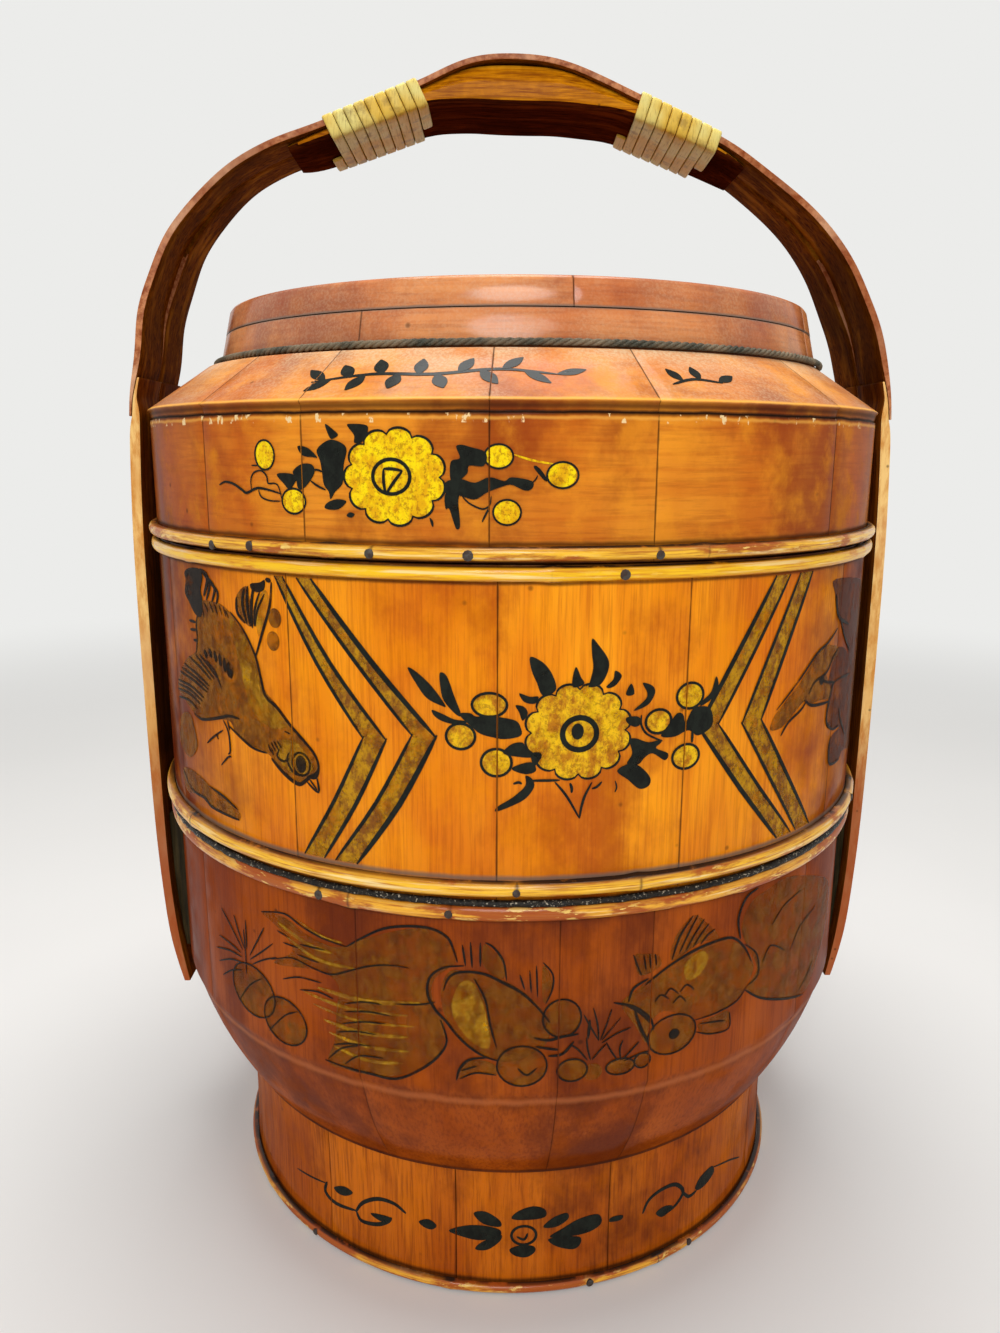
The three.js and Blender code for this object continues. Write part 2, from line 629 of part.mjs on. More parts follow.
// Bindings: a flat strip wound round bow and grip, one unbroken run that starts and ends on the underside
const CORNER_STEPS = 2;
const FLAT_STEPS = 4;
const SIDE_STEPS = 2;
const TURN_STEPS = 4 * (CORNER_STEPS + 1) + 2 * (FLAT_STEPS + SIDE_STEPS);
const STRIP_EDGE_SHARE = 0.8;
const stripWidth = BINDING_PITCH - STRIP_SPACING;

// The way round at one place on the bow, as [depth, across] points that start in the middle of the underside
function bindingLoop(share) {
  const out = BINDING_CLEARANCE + STRIP_THICKNESS / 2;
  const top = -out;
  const under = gripTop(share) + gripThickness(share) + out;
  const half = CROWN_WIDTH / 2 + out;
  const r = BINDING_CORNER;
  const corners = [
    [under - r, half - r, 0],
    [top + r, half - r, 1],
    [top + r, -half + r, 2],
    [under - r, -half + r, 3],
  ];
  const arcs = corners.map(([d, y, quarter]) =>
    Array.from({ length: CORNER_STEPS + 1 }, (_, i) => {
      const angle = ((quarter + i / CORNER_STEPS) * Math.PI) / 2;
      return [d + r * Math.cos(angle), y + r * Math.sin(angle)];
    }),
  );
  const points = [];
  arcs.forEach((arc, i) => {
    points.push(...arc);
    const to = arcs[(i + 1) % arcs.length][0];
    const from = arc.at(-1);
    const steps = i % 2 === 0 ? SIDE_STEPS : FLAT_STEPS;
    for (let k = 1; k <= steps; k++) {
      const part = k / (steps + 1);
      points.push([lerp(from[0], to[0], part), lerp(from[1], to[1], part)]);
    }
  });
  const middle = points.length - FLAT_STEPS / 2;
  return [...points.slice(middle), ...points.slice(0, middle)];
}

function binding({ startShare, turns }) {
  const first = shareAtX(startShare * halfSpan);
  const total = turns * TURN_STEPS;
  const path = Array.from({ length: total + 1 }, (_, i) => {
    const share = first + ((i / TURN_STEPS) * BINDING_PITCH) / bowLength;
    const [depth, across] = bindingLoop(share)[i % TURN_STEPS];
    return { point: bowPoint(share, depth, across), centre: bowPoint(share, gripTop(share), 0), share };
  });
  const half = stripWidth / 2;
  const thick = STRIP_THICKNESS / 2;
  const outline = [
    [thick, -half * STRIP_EDGE_SHARE],
    [thick, half * STRIP_EDGE_SHARE],
    [0, half],
    [-thick, half * STRIP_EDGE_SHARE],
    [-thick, -half * STRIP_EDGE_SHARE],
    [0, -half],
  ];
  const sections = path.map(({ point, share }, i) => {
    const before = path[Math.max(0, i - 1)].point;
    const after = path[Math.min(total, i + 1)].point;
    const travel = after.clone().sub(before).normalize();
    const along = bowCurve.getTangentAt(share);
    const lay = new THREE.Vector3(along.x, 0, along.y);
    const outward = travel.clone().cross(lay).normalize();
    const across = outward.clone().cross(travel);
    return outline.map(([u, v]) => point.clone().addScaledVector(outward, u).addScaledVector(across, v));
  });
  return { geometry: loft(sections, toOutline(outline)), sections };
}

// The least gap of a binding to itself, on the strip's points half a turn or more apart
function leastGap(sections) {
  let least = Infinity;
  sections.forEach((section, i) => {
    for (const other of sections.slice(i + TURN_STEPS / 2)) {
      for (const a of section) for (const b of other) least = Math.min(least, a.distanceTo(b));
    }
  });
  return least;
}

for (const [place, run] of [["left", LEFT_BINDING], ["right", RIGHT_BINDING]]) {
  const { geometry, sections } = binding(run);
  console.log(`rattan_wrap_${place}: least gap to itself ${leastGap(sections).toFixed(2)} mm`);
  addPiece(handle, `rattan_wrap_${place}`, geometry, RATTAN);
}

export default basket;
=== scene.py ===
"""A stacked food basket of lacquered wood, with bamboo hoops, a bent lath handle and painted ornament.

Sizes are written in millimetres and turned into metres by MM. Angles round the basket are in degrees from the
front, growing towards +X. Colours are written as they look on a screen, 0 to 255.
"""
import math
import random

import bpy
from mathutils import Matrix, Vector


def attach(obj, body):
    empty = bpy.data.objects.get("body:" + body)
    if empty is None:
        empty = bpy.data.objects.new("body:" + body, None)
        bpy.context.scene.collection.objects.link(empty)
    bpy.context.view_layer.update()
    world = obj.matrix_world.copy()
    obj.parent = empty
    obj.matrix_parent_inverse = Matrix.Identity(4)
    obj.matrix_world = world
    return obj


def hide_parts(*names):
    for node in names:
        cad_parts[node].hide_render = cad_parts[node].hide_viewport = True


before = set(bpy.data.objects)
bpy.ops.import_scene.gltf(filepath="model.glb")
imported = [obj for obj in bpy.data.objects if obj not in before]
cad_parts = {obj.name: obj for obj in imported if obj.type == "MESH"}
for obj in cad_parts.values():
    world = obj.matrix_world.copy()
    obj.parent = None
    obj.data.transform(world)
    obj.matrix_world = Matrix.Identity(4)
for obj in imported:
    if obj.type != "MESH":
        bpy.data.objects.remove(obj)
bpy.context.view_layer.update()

MM = 0.001
WELD = 0.00001
HAND = random.Random(7)  # the maker's small unevennesses

# Sizes shared with the solids
SEAT_GAP = 0.3
WALL_THICKNESS = 9
TONGUE_HEIGHT = 5
TIER_RADIUS = 137.7
BASE_RADIUS = 136.4
ARRIS_RADIUS = 135.2
ARRIS_ROUND = 3.6
WAIST_RADIUS = 116.6
WAIST_LIP = 0.8
BAND_BULGE = 2
FOOT_RADIUS = 113.6
FOOT_THICKNESS = 9.4
FOOT_HOLLOWING = 0.7
FOOT_HEIGHT = 50.7
TONGUE_RADIUS = 132.6
SKIRT_RADIUS = 133.6
TIER_INNER = 128.7
BASE_INNER = 127.4
CROZE_RADIUS = 131.3

# Heights
WAIST_Z = 51.0
ARRIS_Z = 93.4
BASE_FLOOR_Z = 60.0
BASE_RIM_Z = 161.7
MIDDLE_BOTTOM_Z = 162.1
MIDDLE_LAP_Z = 167.5
MIDDLE_FLOOR_Z = 171.0
MIDDLE_RIM_Z = 262.3
LID_BOTTOM_Z = 262.7
LID_LAP_Z = 268.1
BEAD_Z = 303.3
SHOULDER_Z = 306.5
COLLAR_Z = 321.9
COLLAR_SPLIT_Z = 333.5
COLLAR_TOP_Z = 342.4
BOARD_SLOT = 7.1  # the groove's height round a board

# Lid, collar and cord
BEAD_RADIUS = 138.9
BEAD_ROUND = 0.6
SHOULDER_TOP_RADIUS = 116.8
PANEL_RADIUS = 102.7
DOME_RADIUS = 97
PANEL_SEAT_Z = 314.9
DOME_Z = 308.4
LID_INNER_TOP_Z = 289.0
COLLAR_FOOT_RADIUS = 113.9
COLLAR_TOP_RADIUS = 109.3
COLLAR_INNER = 103.0
COLLAR_ROUND = 1.2
CORD_RING_RADIUS = 115.9
CORD_Z = 323.65

# Staves: where each tier's first seam is, and the widths going round
STAVES = {
    "base": (-22.3, [27, 12.6, 30, 33, 31, 34, 32, 33, 31, 34, 30, 32.4]),
    "middle": (-30.6, [27.2, 23.6, 31, 30, 32, 30, 31, 33, 30, 31, 32, 29.2]),
    "lid": (-45, [17.6, 23, 19.4, 30, 33, 34, 32, 35, 33, 34, 34, 35]),
}
STAVE_STEP = 2.5  # degrees between the facets of a turned surface
HOOP_STEP = 0.9


# Camera, light and floor
CAMERA_PLACE = (-13.8, -405.0, 293.1)
CAMERA_TURNS = (12.52, 1.36, 0.24)  # pitch, yaw and roll
SENSOR_WIDTH = 36
FOCAL_LENGTH = 26.305
LAMPS = [  # name, place, aim and size in metres, watts
    ("overhead_lamp", (0, 0.1, 1.3), (0, -0.05, 0.3), 0.8, 11),
    ("front_lamp", (-0.16, -1.95, 1.42), (0, 0, 0.2), 1.1, 29),
]
PALE = (236, 236, 234)
ROOM_FILL = 0.42
FLOOR_REACH = 14000
FLOOR_DROP = 0.3
NEAR_FLOOR = 450  # the floor shows its own shading this far out, and goes over to the plain pale room beyond
FAR_FLOOR = 1500


def add_object(name, data):
    thing = bpy.data.objects.new(name, data)
    bpy.context.scene.collection.objects.link(thing)
    return thing


def add_camera():
    """The camera stands where the photograph was taken from."""
    pitch, yaw, roll = map(math.radians, CAMERA_TURNS)
    ahead = Vector((math.sin(yaw) * math.cos(pitch), math.cos(yaw) * math.cos(pitch), -math.sin(pitch)))
    level = Vector((math.cos(yaw), -math.sin(yaw), 0))
    upward = level.cross(ahead)
    right = level * math.cos(roll) + upward * math.sin(roll)
    top = upward * math.cos(roll) - level * math.sin(roll)
    lens = bpy.data.cameras.new("camera")
    lens.sensor_width = SENSOR_WIDTH
    lens.lens = FOCAL_LENGTH
    lens.clip_start = 0.01
    camera = add_object("camera", lens)
    turn = Matrix((right, top, -ahead)).transposed().to_4x4()
    camera.matrix_world = Matrix.Translation(Vector(CAMERA_PLACE) * MM) @ turn
    bpy.context.scene.camera = camera


def add_soft_lamp(name, place, aim, size, watts):
    lamp = bpy.data.lights.new(name, "AREA")
    lamp.shape = "DISK"
    lamp.size = size
    lamp.energy = watts
    holder = add_object(name, lamp)
    holder.location = place
    holder.rotation_euler = (Vector(aim) - Vector(place)).to_track_quat("-Z", "Y").to_euler()


def seen_directly(tree):
    """1 for what the camera sees, in a mirror or through glass too, and 0 for light that falls on things."""
    path = add_node(tree, "ShaderNodeLightPath").outputs
    gloss = maths(tree, "MAXIMUM", path["Is Glossy Ray"], path["Is Transmission Ray"])
    return maths(tree, "MAXIMUM", path["Is Camera Ray"], gloss)


def add_floor():
    deselect_all()
    centre = (0, 0, -FLOOR_DROP * MM)
    bpy.ops.mesh.primitive_circle_add(vertices=96, radius=FLOOR_REACH * MM, fill_type="NGON", location=centre)
    floor = bpy.context.object
    floor.name = "floor"
    material, tree, shader = new_material("pale_floor", {"Roughness": 0.85, "Specular IOR Level": 0.1})
    place = object_mm(tree)
    cloud = add_node(tree, "ShaderNodeTexNoise", {"Vector": place, "Scale": 0.004, "Detail": 2}).outputs[0]
    tree.links.new(mixed(tree, cloud, srgb(222, 221, 219), srgb(230, 229, 227)), shader.inputs["Base Color"])
    away = add_node(tree, "ShaderNodeVectorMath", {0: place}, operation="LENGTH").outputs["Value"]
    share = product(tree, eased(tree, away, NEAR_FLOOR, FAR_FLOOR), seen_directly(tree))
    plain = add_node(tree, "ShaderNodeEmission", {"Color": srgb(*PALE), "Strength": 1.0})
    both = add_node(tree, "ShaderNodeMixShader", {0: share, 1: shader.outputs[0], 2: plain.outputs[0]})
    tree.links.new(both.outputs[0], tree.nodes["Material Output"].inputs["Surface"])
    floor.data.materials.append(material)


def light_room():
    """A pale room all round, which also lights the basket softly."""
    world = bpy.data.worlds.new("pale_room")
    bpy.context.scene.world = world
    world.use_nodes = True
    tree = world.node_tree
    tree.nodes.clear()
    fill = add_node(tree, "ShaderNodeBackground", {"Color": srgb(244, 242, 238), "Strength": ROOM_FILL})
    seen = add_node(tree, "ShaderNodeBackground", {"Color": srgb(*PALE), "Strength": 1.0})
    shares = {0: seen_directly(tree), 1: fill.outputs[0], 2: seen.outputs[0]}
    both = add_node(tree, "ShaderNodeMixShader", shares)
    add_node(tree, "ShaderNodeOutputWorld", {"Surface": both.outputs[0]})
    for lamp in LAMPS:
        add_soft_lamp(*lamp)
    bpy.context.scene.view_settings.view_transform = "Standard"


# Node helpers
def srgb(red, green, blue):
    """A colour as it looks on a screen, turned into the linear values that nodes use."""
    def linear(level):
        level /= 255
        return level / 12.92 if level <= 0.04045 else ((level + 0.055) / 1.055) ** 2.4
    return (linear(red), linear(green), linear(blue), 1)


def add_node(tree, kind, inputs=None, **settings):
    node = tree.nodes.new(kind)
    for key, value in settings.items():
        setattr(node, key, value)
    for socket, value in (inputs or {}).items():
        if isinstance(value, bpy.types.NodeSocket):
            tree.links.new(value, node.inputs[socket])
        else:
            node.inputs[socket].default_value = value
    return node


def maths(tree, operation, *values, clamp=False):
    settings = {"operation": operation, "use_clamp": clamp}
    return add_node(tree, "ShaderNodeMath", dict(enumerate(values)), **settings).outputs[0]


def product(tree, first, second):
    return maths(tree, "MULTIPLY", first, second)


def mixed(tree, share, first, second):
    return add_node(tree, "ShaderNodeMix", {0: share, 6: first, 7: second}, data_type="RGBA").outputs[2]


def laid_over(tree, colour, mask, strength, shade):
    """The colour with a shade over it where the mask is, as strong as given."""
    return mixed(tree, product(tree, mask, strength), colour, shade)


def eased(tree, value, low, high, to_low=0.0, to_high=1.0):
    inputs = {0: value, 1: low, 2: high, 3: to_low, 4: to_high}
    return add_node(tree, "ShaderNodeMapRange", inputs, interpolation_type="SMOOTHSTEP").outputs[0]


def part(tree, vector, index):
    """One number of a vector: 0 for x, 1 for y, 2 for z."""
    return add_node(tree, "ShaderNodeSeparateXYZ", {0: vector}).outputs[index]


def stretched(tree, place, x, y, z):
    return add_node(tree, "ShaderNodeVectorMath", {0: place, 1: (x, y, z)}, operation="MULTIPLY").outputs[0]


PATTERN_SHIFT = (310, 170, 530)


def object_mm(tree, shift=None):
    """Object coordinates in millimetres, moved along by a shift so that no two pieces share a pattern."""
    place = add_node(tree, "ShaderNodeTexCoord").outputs["Object"]
    scaled = add_node(tree, "ShaderNodeVectorMath", {0: place, 3: 1 / MM}, operation="SCALE").outputs[0]
    if shift is None:
        return scaled
    away = add_node(tree, "ShaderNodeVectorMath", {0: PATTERN_SHIFT, 3: shift}, operation="SCALE").outputs[0]
    return add_node(tree, "ShaderNodeVectorMath", {0: scaled, 1: away}, operation="ADD").outputs[0]


def new_material(name, settings):
    material = bpy.data.materials.new(name)
    material.use_nodes = True
    tree = material.node_tree
    tree.nodes.clear()
    shader = add_node(tree, "ShaderNodeBsdfPrincipled", settings)
    add_node(tree, "ShaderNodeOutputMaterial", {"Surface": shader.outputs[0]})
    return material, tree, shader


def feed(tree, shader, colour, roughness, height, relief, alpha=None, coat=None):
    """Links what varies over the surface into the shader. The relief is the height's depth in millimetres."""
    links = {"Base Color": colour, "Roughness": roughness, "Coat Weight": coat, "Alpha": alpha}
    for label, value in links.items():
        if value is not None:
            tree.links.new(value, shader.inputs[label])
    bump = add_node(tree, "ShaderNodeBump", {"Strength": 1.0, "Distance": relief * MM, "Height": height})
    tree.links.new(bump.outputs[0], shader.inputs["Normal"])


def new_group(name, vectors, numbers, outputs):
    """A node group with vector inputs, number inputs with their usual values, and number outputs."""
    group = bpy.data.node_groups.new(name, "ShaderNodeTree")
    for label in vectors:
        group.interface.new_socket(label, in_out="INPUT", socket_type="NodeSocketVector")
    for label, usual in numbers.items():
        socket = group.interface.new_socket(label, in_out="INPUT", socket_type="NodeSocketFloat")
        socket.default_value = usual
    for label in outputs:
        group.interface.new_socket(label, in_out="OUTPUT", socket_type="NodeSocketFloat")
    return group, add_node(group, "NodeGroupInput").outputs, add_node(group, "NodeGroupOutput").inputs


def placed(tree, group, **values):
    """A group's outputs, with its inputs set from keywords such as fibre_width for Fibre width."""
    inputs = {key.replace("_", " ").capitalize(): value for key, value in values.items()}
    return add_node(tree, "ShaderNodeGroup", node_tree=group, inputs=inputs).outputs


def noise(tree, place, size, detail=2.0, roughness=0.5):
    scale = maths(tree, "DIVIDE", 1.0, size)
    inputs = {"Vector": place, "Scale": scale, "Detail": detail, "Roughness": roughness}
    return add_node(tree, "ShaderNodeTexNoise", inputs).outputs[0]


def make_grain_group():
    """Wood grain that runs up the piece: fine fibres, the figure of the growth rings, and soft clouds."""
    usual = {"Fibre width": 1.2, "Figure width": 20.0}
    group, given, out = new_group("wood grain", ["Place"], usual, ["Fibres", "Figure", "Clouds"])
    along = stretched(group, given["Place"], 1, 1, 0.035)
    group.links.new(noise(group, along, given["Fibre width"], 4.0, 0.65), out["Fibres"])
    swell = noise(group, stretched(group, given["Place"], 1, 1, 0.12), given["Figure width"], 1.0)
    rings = maths(group, "SINE", product(group, swell, 46.0))
    group.links.new(maths(group, "MULTIPLY_ADD", rings, 0.5, 0.5), out["Figure"])
    clouds = noise(group, stretched(group, given["Place"], 1, 1, 0.5), 42.0, 3.0)
    group.links.new(eased(group, clouds, 0.32, 0.68), out["Clouds"])
    return group


def make_patch_group():
    """Irregular patches, as where a finish is rubbed away or dirt has gathered."""
    usual = {"Size": 20.0, "Share": 0.4, "Softness": 0.05}
    group, given, out = new_group("worn patches", ["Place"], usual, ["Patches"])
    cloud = noise(group, given["Place"], given["Size"], 6.0, 0.62)
    level = maths(group, "MULTIPLY_ADD", given["Share"], -0.5, 0.75)
    low = maths(group, "SUBTRACT", level, given["Softness"])
    high = maths(group, "ADD", level, given["Softness"])
    group.links.new(eased(group, cloud, low, high), out["Patches"])
    return group


def make_speck_group():
    """Small dark pits and specks of dirt scattered over the surface."""
    group, given, out = new_group("specks", ["Place"], {"Size": 5.0, "Share": 0.3}, ["Specks"])
    scale = maths(group, "DIVIDE", 1.0, given["Size"])
    cells = add_node(group, "ShaderNodeTexVoronoi", {"Vector": given["Place"], "Scale": scale}).outputs
    lot = add_node(group, "ShaderNodeSeparateColor", {0: cells["Color"]}).outputs[0]
    near = eased(group, cells["Distance"], 0.04, 0.13, 1.0, 0.0)
    group.links.new(product(group, maths(group, "LESS_THAN", lot, given["Share"]), near), out["Specks"])
    return group


def make_level_group():
    """A wavering line at one height above the floor, for dirt, dust and chips, and for painted shade and
    painted highlights.
    """
    usual = {"Level": 0.0, "Reach": 2.0, "Waver": 1.0}
    group, given, out = new_group("line at a height", ["Place"], usual, ["Line"])
    drift = maths(group, "SUBTRACT", noise(group, given["Place"], 9.0, 4.0, 0.6), 0.5)
    level = maths(group, "MULTIPLY_ADD", drift, given["Waver"], given["Level"])
    away = maths(group, "ABSOLUTE", maths(group, "SUBTRACT", part(group, given["Place"], 2), level))
    group.links.new(eased(group, away, 0.0, given["Reach"], 1.0, 0.0), out["Line"])
    return group


def make_seam_group():
    """Dirt along the two long edges of a stave, from its own distances to them."""
    group, given, out = new_group("dirt at the seams", ["Marks", "Place"], {"Reach": 1.2}, ["Dirt"])
    nearest = maths(group, "MINIMUM", part(group, given["Marks"], 0), part(group, given["Marks"], 1))
    uneven = product(group, given["Reach"], noise(group, given["Place"], 7.0, 3.0))
    group.links.new(eased(group, nearest, 0.0, product(group, uneven, 2.0), 1.0, 0.0), out["Dirt"])
    return group


def make_film_group():
    """Dust that settles more and more from one height up to another, in fine grains and soft clouds."""
    group, given, out = new_group("film of dust", ["Place"], {"Low": 0.0, "High": 1.0}, ["Film"])
    settled = eased(group, part(group, given["Place"], 2), given["Low"], given["High"])
    clouds = eased(group, noise(group, given["Place"], 20.0, 3.0), 0.32, 0.62, 0.35, 1.0)
    grains = eased(group, noise(group, given["Place"], 0.9, 3.0, 0.7), 0.42, 0.62, 0.45, 1.0)
    group.links.new(product(group, settled, product(group, clouds, grains)), out["Film"])
    return group


GRAIN = make_grain_group()
PATCHES = make_patch_group()
SPECKS = make_speck_group()
LEVEL_LINE = make_level_group()
SEAM_DIRT = make_seam_group()
FILM = make_film_group()

# Brown of dirt, which in the lacquer also paints shade on the bead, under the arris, at the waist and behind
# the uprights
DIRT_AND_SHADE_BROWN = srgb(34, 20, 12)
DUST = srgb(214, 184, 146)
GREY_DUST = srgb(122, 108, 96)
CHIP_CREAM = srgb(238, 206, 150)
# Painted highlight along the lid's shoulder edge and under the bead
PAINTED_HIGHLIGHT_GOLD = srgb(244, 178, 76)
# Painted highlight along the base's arris
ARRIS_PAINTED_HIGHLIGHT = srgb(196, 112, 62)
GRAIN_PALE = srgb(206, 194, 170)
# Pale fibres of the bamboo, drawn strong enough to stand in for part of the hoops' sheen as painted highlight
PALE_FIBRE_AND_SHEEN = srgb(255, 232, 168)
SKIN_CHIP = srgb(255, 222, 120)
LOW_RED = srgb(150, 62, 34)
LOW_RED_FROM, LOW_RED_TO = 205, 135  # heights between which the uprights' edges go over to it
# The colour of the sides: the lacquer's own darker tone together with painted shade
SIDE_TONE_AND_SHADE = srgb(112, 38, 8)
SIDE_FROM, SIDE_TO = 76, 130  # from the middle to where the finish of a tier is at its darkest
CORNER_FROM, CORNER_TO = 112, 144  # where the dirt and painted shadow behind the uprights start, and where they are thickest


def attribute(tree, name):
    return add_node(tree, "ShaderNodeAttribute", attribute_name=name).outputs


def patches(tree, place, size, share, softness):
    return placed(tree, PATCHES, place=place, size=size, share=share, softness=softness)[0]


def level_line(tree, place, height, reach, waver):
    return placed(tree, LEVEL_LINE, place=place, level=height, reach=reach, waver=waver)[0]


def lacquered_wood(name, *shades, blotch, dirt_and_shade_lines, seam_dirt=0.75, streak=0.4, gloss=0.24,
                   lines=(), films=(), chips=(), around=False, sides=0.0, mottle=0.2):
    """Glossy lacquer over wood whose grain stands upright, or lies round the basket.

    The shades go from deep to light. A dark line, of dirt or of painted shade, is (height, reach, waver,
    strength), any other line, of dust or of painted highlight, has its colour too, a film of dust is
    (low, high, strength) and a row of chips (height, reach). Towards the sides the finish darkens, partly in
    its own tone and partly as painted shade.
    """
    settings = {"Coat Weight": gloss, "Coat Roughness": 0.15, "Coat IOR": 1.45, "Specular IOR Level": 0.0}
    material, tree, shader = new_material(name, settings)
    deep, body, light = (srgb(*shade) for shade in shades)
    marks = attribute(tree, "stave_marks")["Vector"]
    tone = part(tree, marks, 2)
    level = object_mm(tree)
    squat = stretched(tree, level, 1, 1, 0.5)
    place = object_mm(tree, tone)
    fibres, figure, clouds = placed(tree, GRAIN, place=place, fibre_width=0.9, figure_width=30.0)
    if around:
        lying = stretched(tree, place, 0.05, 0.05, 20)
        fibres, figure, _ = placed(tree, GRAIN, place=lying, fibre_width=0.9, figure_width=30.0)
    lightness = maths(tree, "MULTIPLY_ADD", tone, 0.3, product(tree, clouds, 0.8), clamp=True)
    colour = mixed(tree, lightness, body, light)
    colour = laid_over(tree, colour, eased(tree, figure, 0.62, 1.0), 0.3, body)
    colour = mixed(tree, eased(tree, fibres, 0.42, 0.68, 0.0, streak), colour, deep)
    stain = patches(tree, stretched(tree, level, 1, 1, 0.7), 44.0, blotch, 0.1)
    colour = laid_over(tree, colour, stain, 0.75, deep)
    scuffs = patches(tree, level, 16.0, 0.35, 0.12)
    colour = laid_over(tree, colour, scuffs, mottle, light)
    # Darker towards the left and right: partly the lacquer's own tone, partly painted shade where the wall
    # turns from the light, and behind the uprights dirt with their painted shadow
    if sides:
        drift = product(tree, maths(tree, "SUBTRACT", noise(tree, level, 24.0, 4.0, 0.6), 0.5), 70.0)
        far = maths(tree, "ADD", maths(tree, "ABSOLUTE", part(tree, level, 0)), drift)
        colour = mixed(tree, eased(tree, far, SIDE_FROM, SIDE_TO, 0.0, sides), colour, SIDE_TONE_AND_SHADE)
        corner = eased(tree, far, CORNER_FROM, CORNER_TO, 0.0, 0.5 * sides)
        colour = mixed(tree, corner, colour, DIRT_AND_SHADE_BROWN)
    for low, high, strength in films:
        film = placed(tree, FILM, place=level, low=low, high=high)[0]
        colour = laid_over(tree, colour, film, strength, DUST)
    seams = placed(tree, SEAM_DIRT, marks=marks, place=level, reach=0.45)[0]
    specks = placed(tree, SPECKS, place=level, size=9.0, share=0.25)[0]
    dirt = maths(tree, "MAXIMUM", product(tree, seams, seam_dirt), product(tree, specks, 0.55))
    # Dark lines join the dirt: dirt at the hoops and rims, and painted shade on the bead's face, under the
    # arris and round the waist
    for height, reach, waver, strength in dirt_and_shade_lines:
        stripe = level_line(tree, level, height, reach, waver)
        dirt = maths(tree, "MAXIMUM", dirt, product(tree, stripe, strength))
    colour = mixed(tree, dirt, colour, DIRT_AND_SHADE_BROWN)
    for height, reach, waver, strength, shade in lines:
        stripe = level_line(tree, level, height, reach, waver)
        colour = laid_over(tree, colour, stripe, strength, shade)
    for height, reach in chips:
        along = eased(tree, level_line(tree, level, height, reach, 0.5), 0.25, 0.4)
        colour = laid_over(tree, colour, patches(tree, squat, 3.0, 0.28, 0.02), along, CHIP_CREAM)
    roughness = maths(tree, "MULTIPLY_ADD", scuffs, 0.2, maths(tree, "MULTIPLY_ADD", dirt, 0.3, 0.3))
    height = maths(tree, "MULTIPLY_ADD", fibres, 0.28, noise(tree, squat, 7.0, 3.0, 0.6))
    height = maths(tree, "MULTIPLY_ADD", dirt, -0.12, height)
    coat = maths(tree, "MULTIPLY_ADD", maths(tree, "MAXIMUM", dirt, scuffs), -0.6 * gloss, gloss)
    feed(tree, shader, colour, roughness, height, 0.3, coat=coat)
    return material


def split_bamboo(name, skin, worn, dirt_share):
    """Bamboo strip round the basket: golden skin with fine fibres along it, red-brown where it is dirty."""
    settings = {"Coat Weight": 0.35, "Coat Roughness": 0.12, "Specular IOR Level": 0.1}
    material, tree, shader = new_material(name, settings)
    skin, worn = srgb(*skin), srgb(*worn)
    place = object_mm(tree)
    fibres = noise(tree, stretched(tree, place, 0.035, 0.035, 1), 0.7, 4.0, 0.65)
    colour = mixed(tree, eased(tree, fibres, 0.44, 0.66, 0.0, 0.75), skin, worn)
    # Pale streaks along the strip: real pale fibres, and painted sheen for part of the gloss
    pale = noise(tree, stretched(tree, place, 0.05, 0.05, 1.4), 1.6, 3.0, 0.6)
    colour = mixed(tree, eased(tree, pale, 0.52, 0.68, 0.0, 0.7), colour, PALE_FIBRE_AND_SHEEN)
    flat = stretched(tree, place, 0.3, 0.3, 1.3)
    patch = patches(tree, flat, 9.0, dirt_share, 0.05)
    colour = laid_over(tree, colour, patch, 0.9, worn)
    chips = patches(tree, flat, 2.4, 0.3, 0.02)
    colour = laid_over(tree, colour, chips, maths(tree, "MULTIPLY_ADD", patch, 0.6, 0.2), SKIN_CHIP)
    edges = attribute(tree, "edges")["Fac"]
    colour = laid_over(tree, colour, edges, 0.85, worn)
    crust = patches(tree, stretched(tree, place, 0.5, 0.5, 1), 5.0, 0.74, 0.08)
    cracks = eased(tree, attribute(tree, "knuckles")["Fac"], 0.5, 0.95, 0.0, 0.85)
    dirt = maths(tree, "MAXIMUM", cracks, product(tree, eased(tree, edges, 0.55, 1.0), crust))
    colour = mixed(tree, dirt, colour, DIRT_AND_SHADE_BROWN)
    roughness = maths(tree, "MULTIPLY_ADD", maths(tree, "MAXIMUM", patch, dirt), 0.3, 0.28)
    feed(tree, shader, colour, roughness, maths(tree, "MULTIPLY_ADD", dirt, -0.5, fibres), 0.14)
    return material


UPWARD, OVER_BOW, ACROSS = (1, 1, 0.05), (0.3, 1, 0.3), (0.06, 1, 1)  # how far fibres are drawn out each way


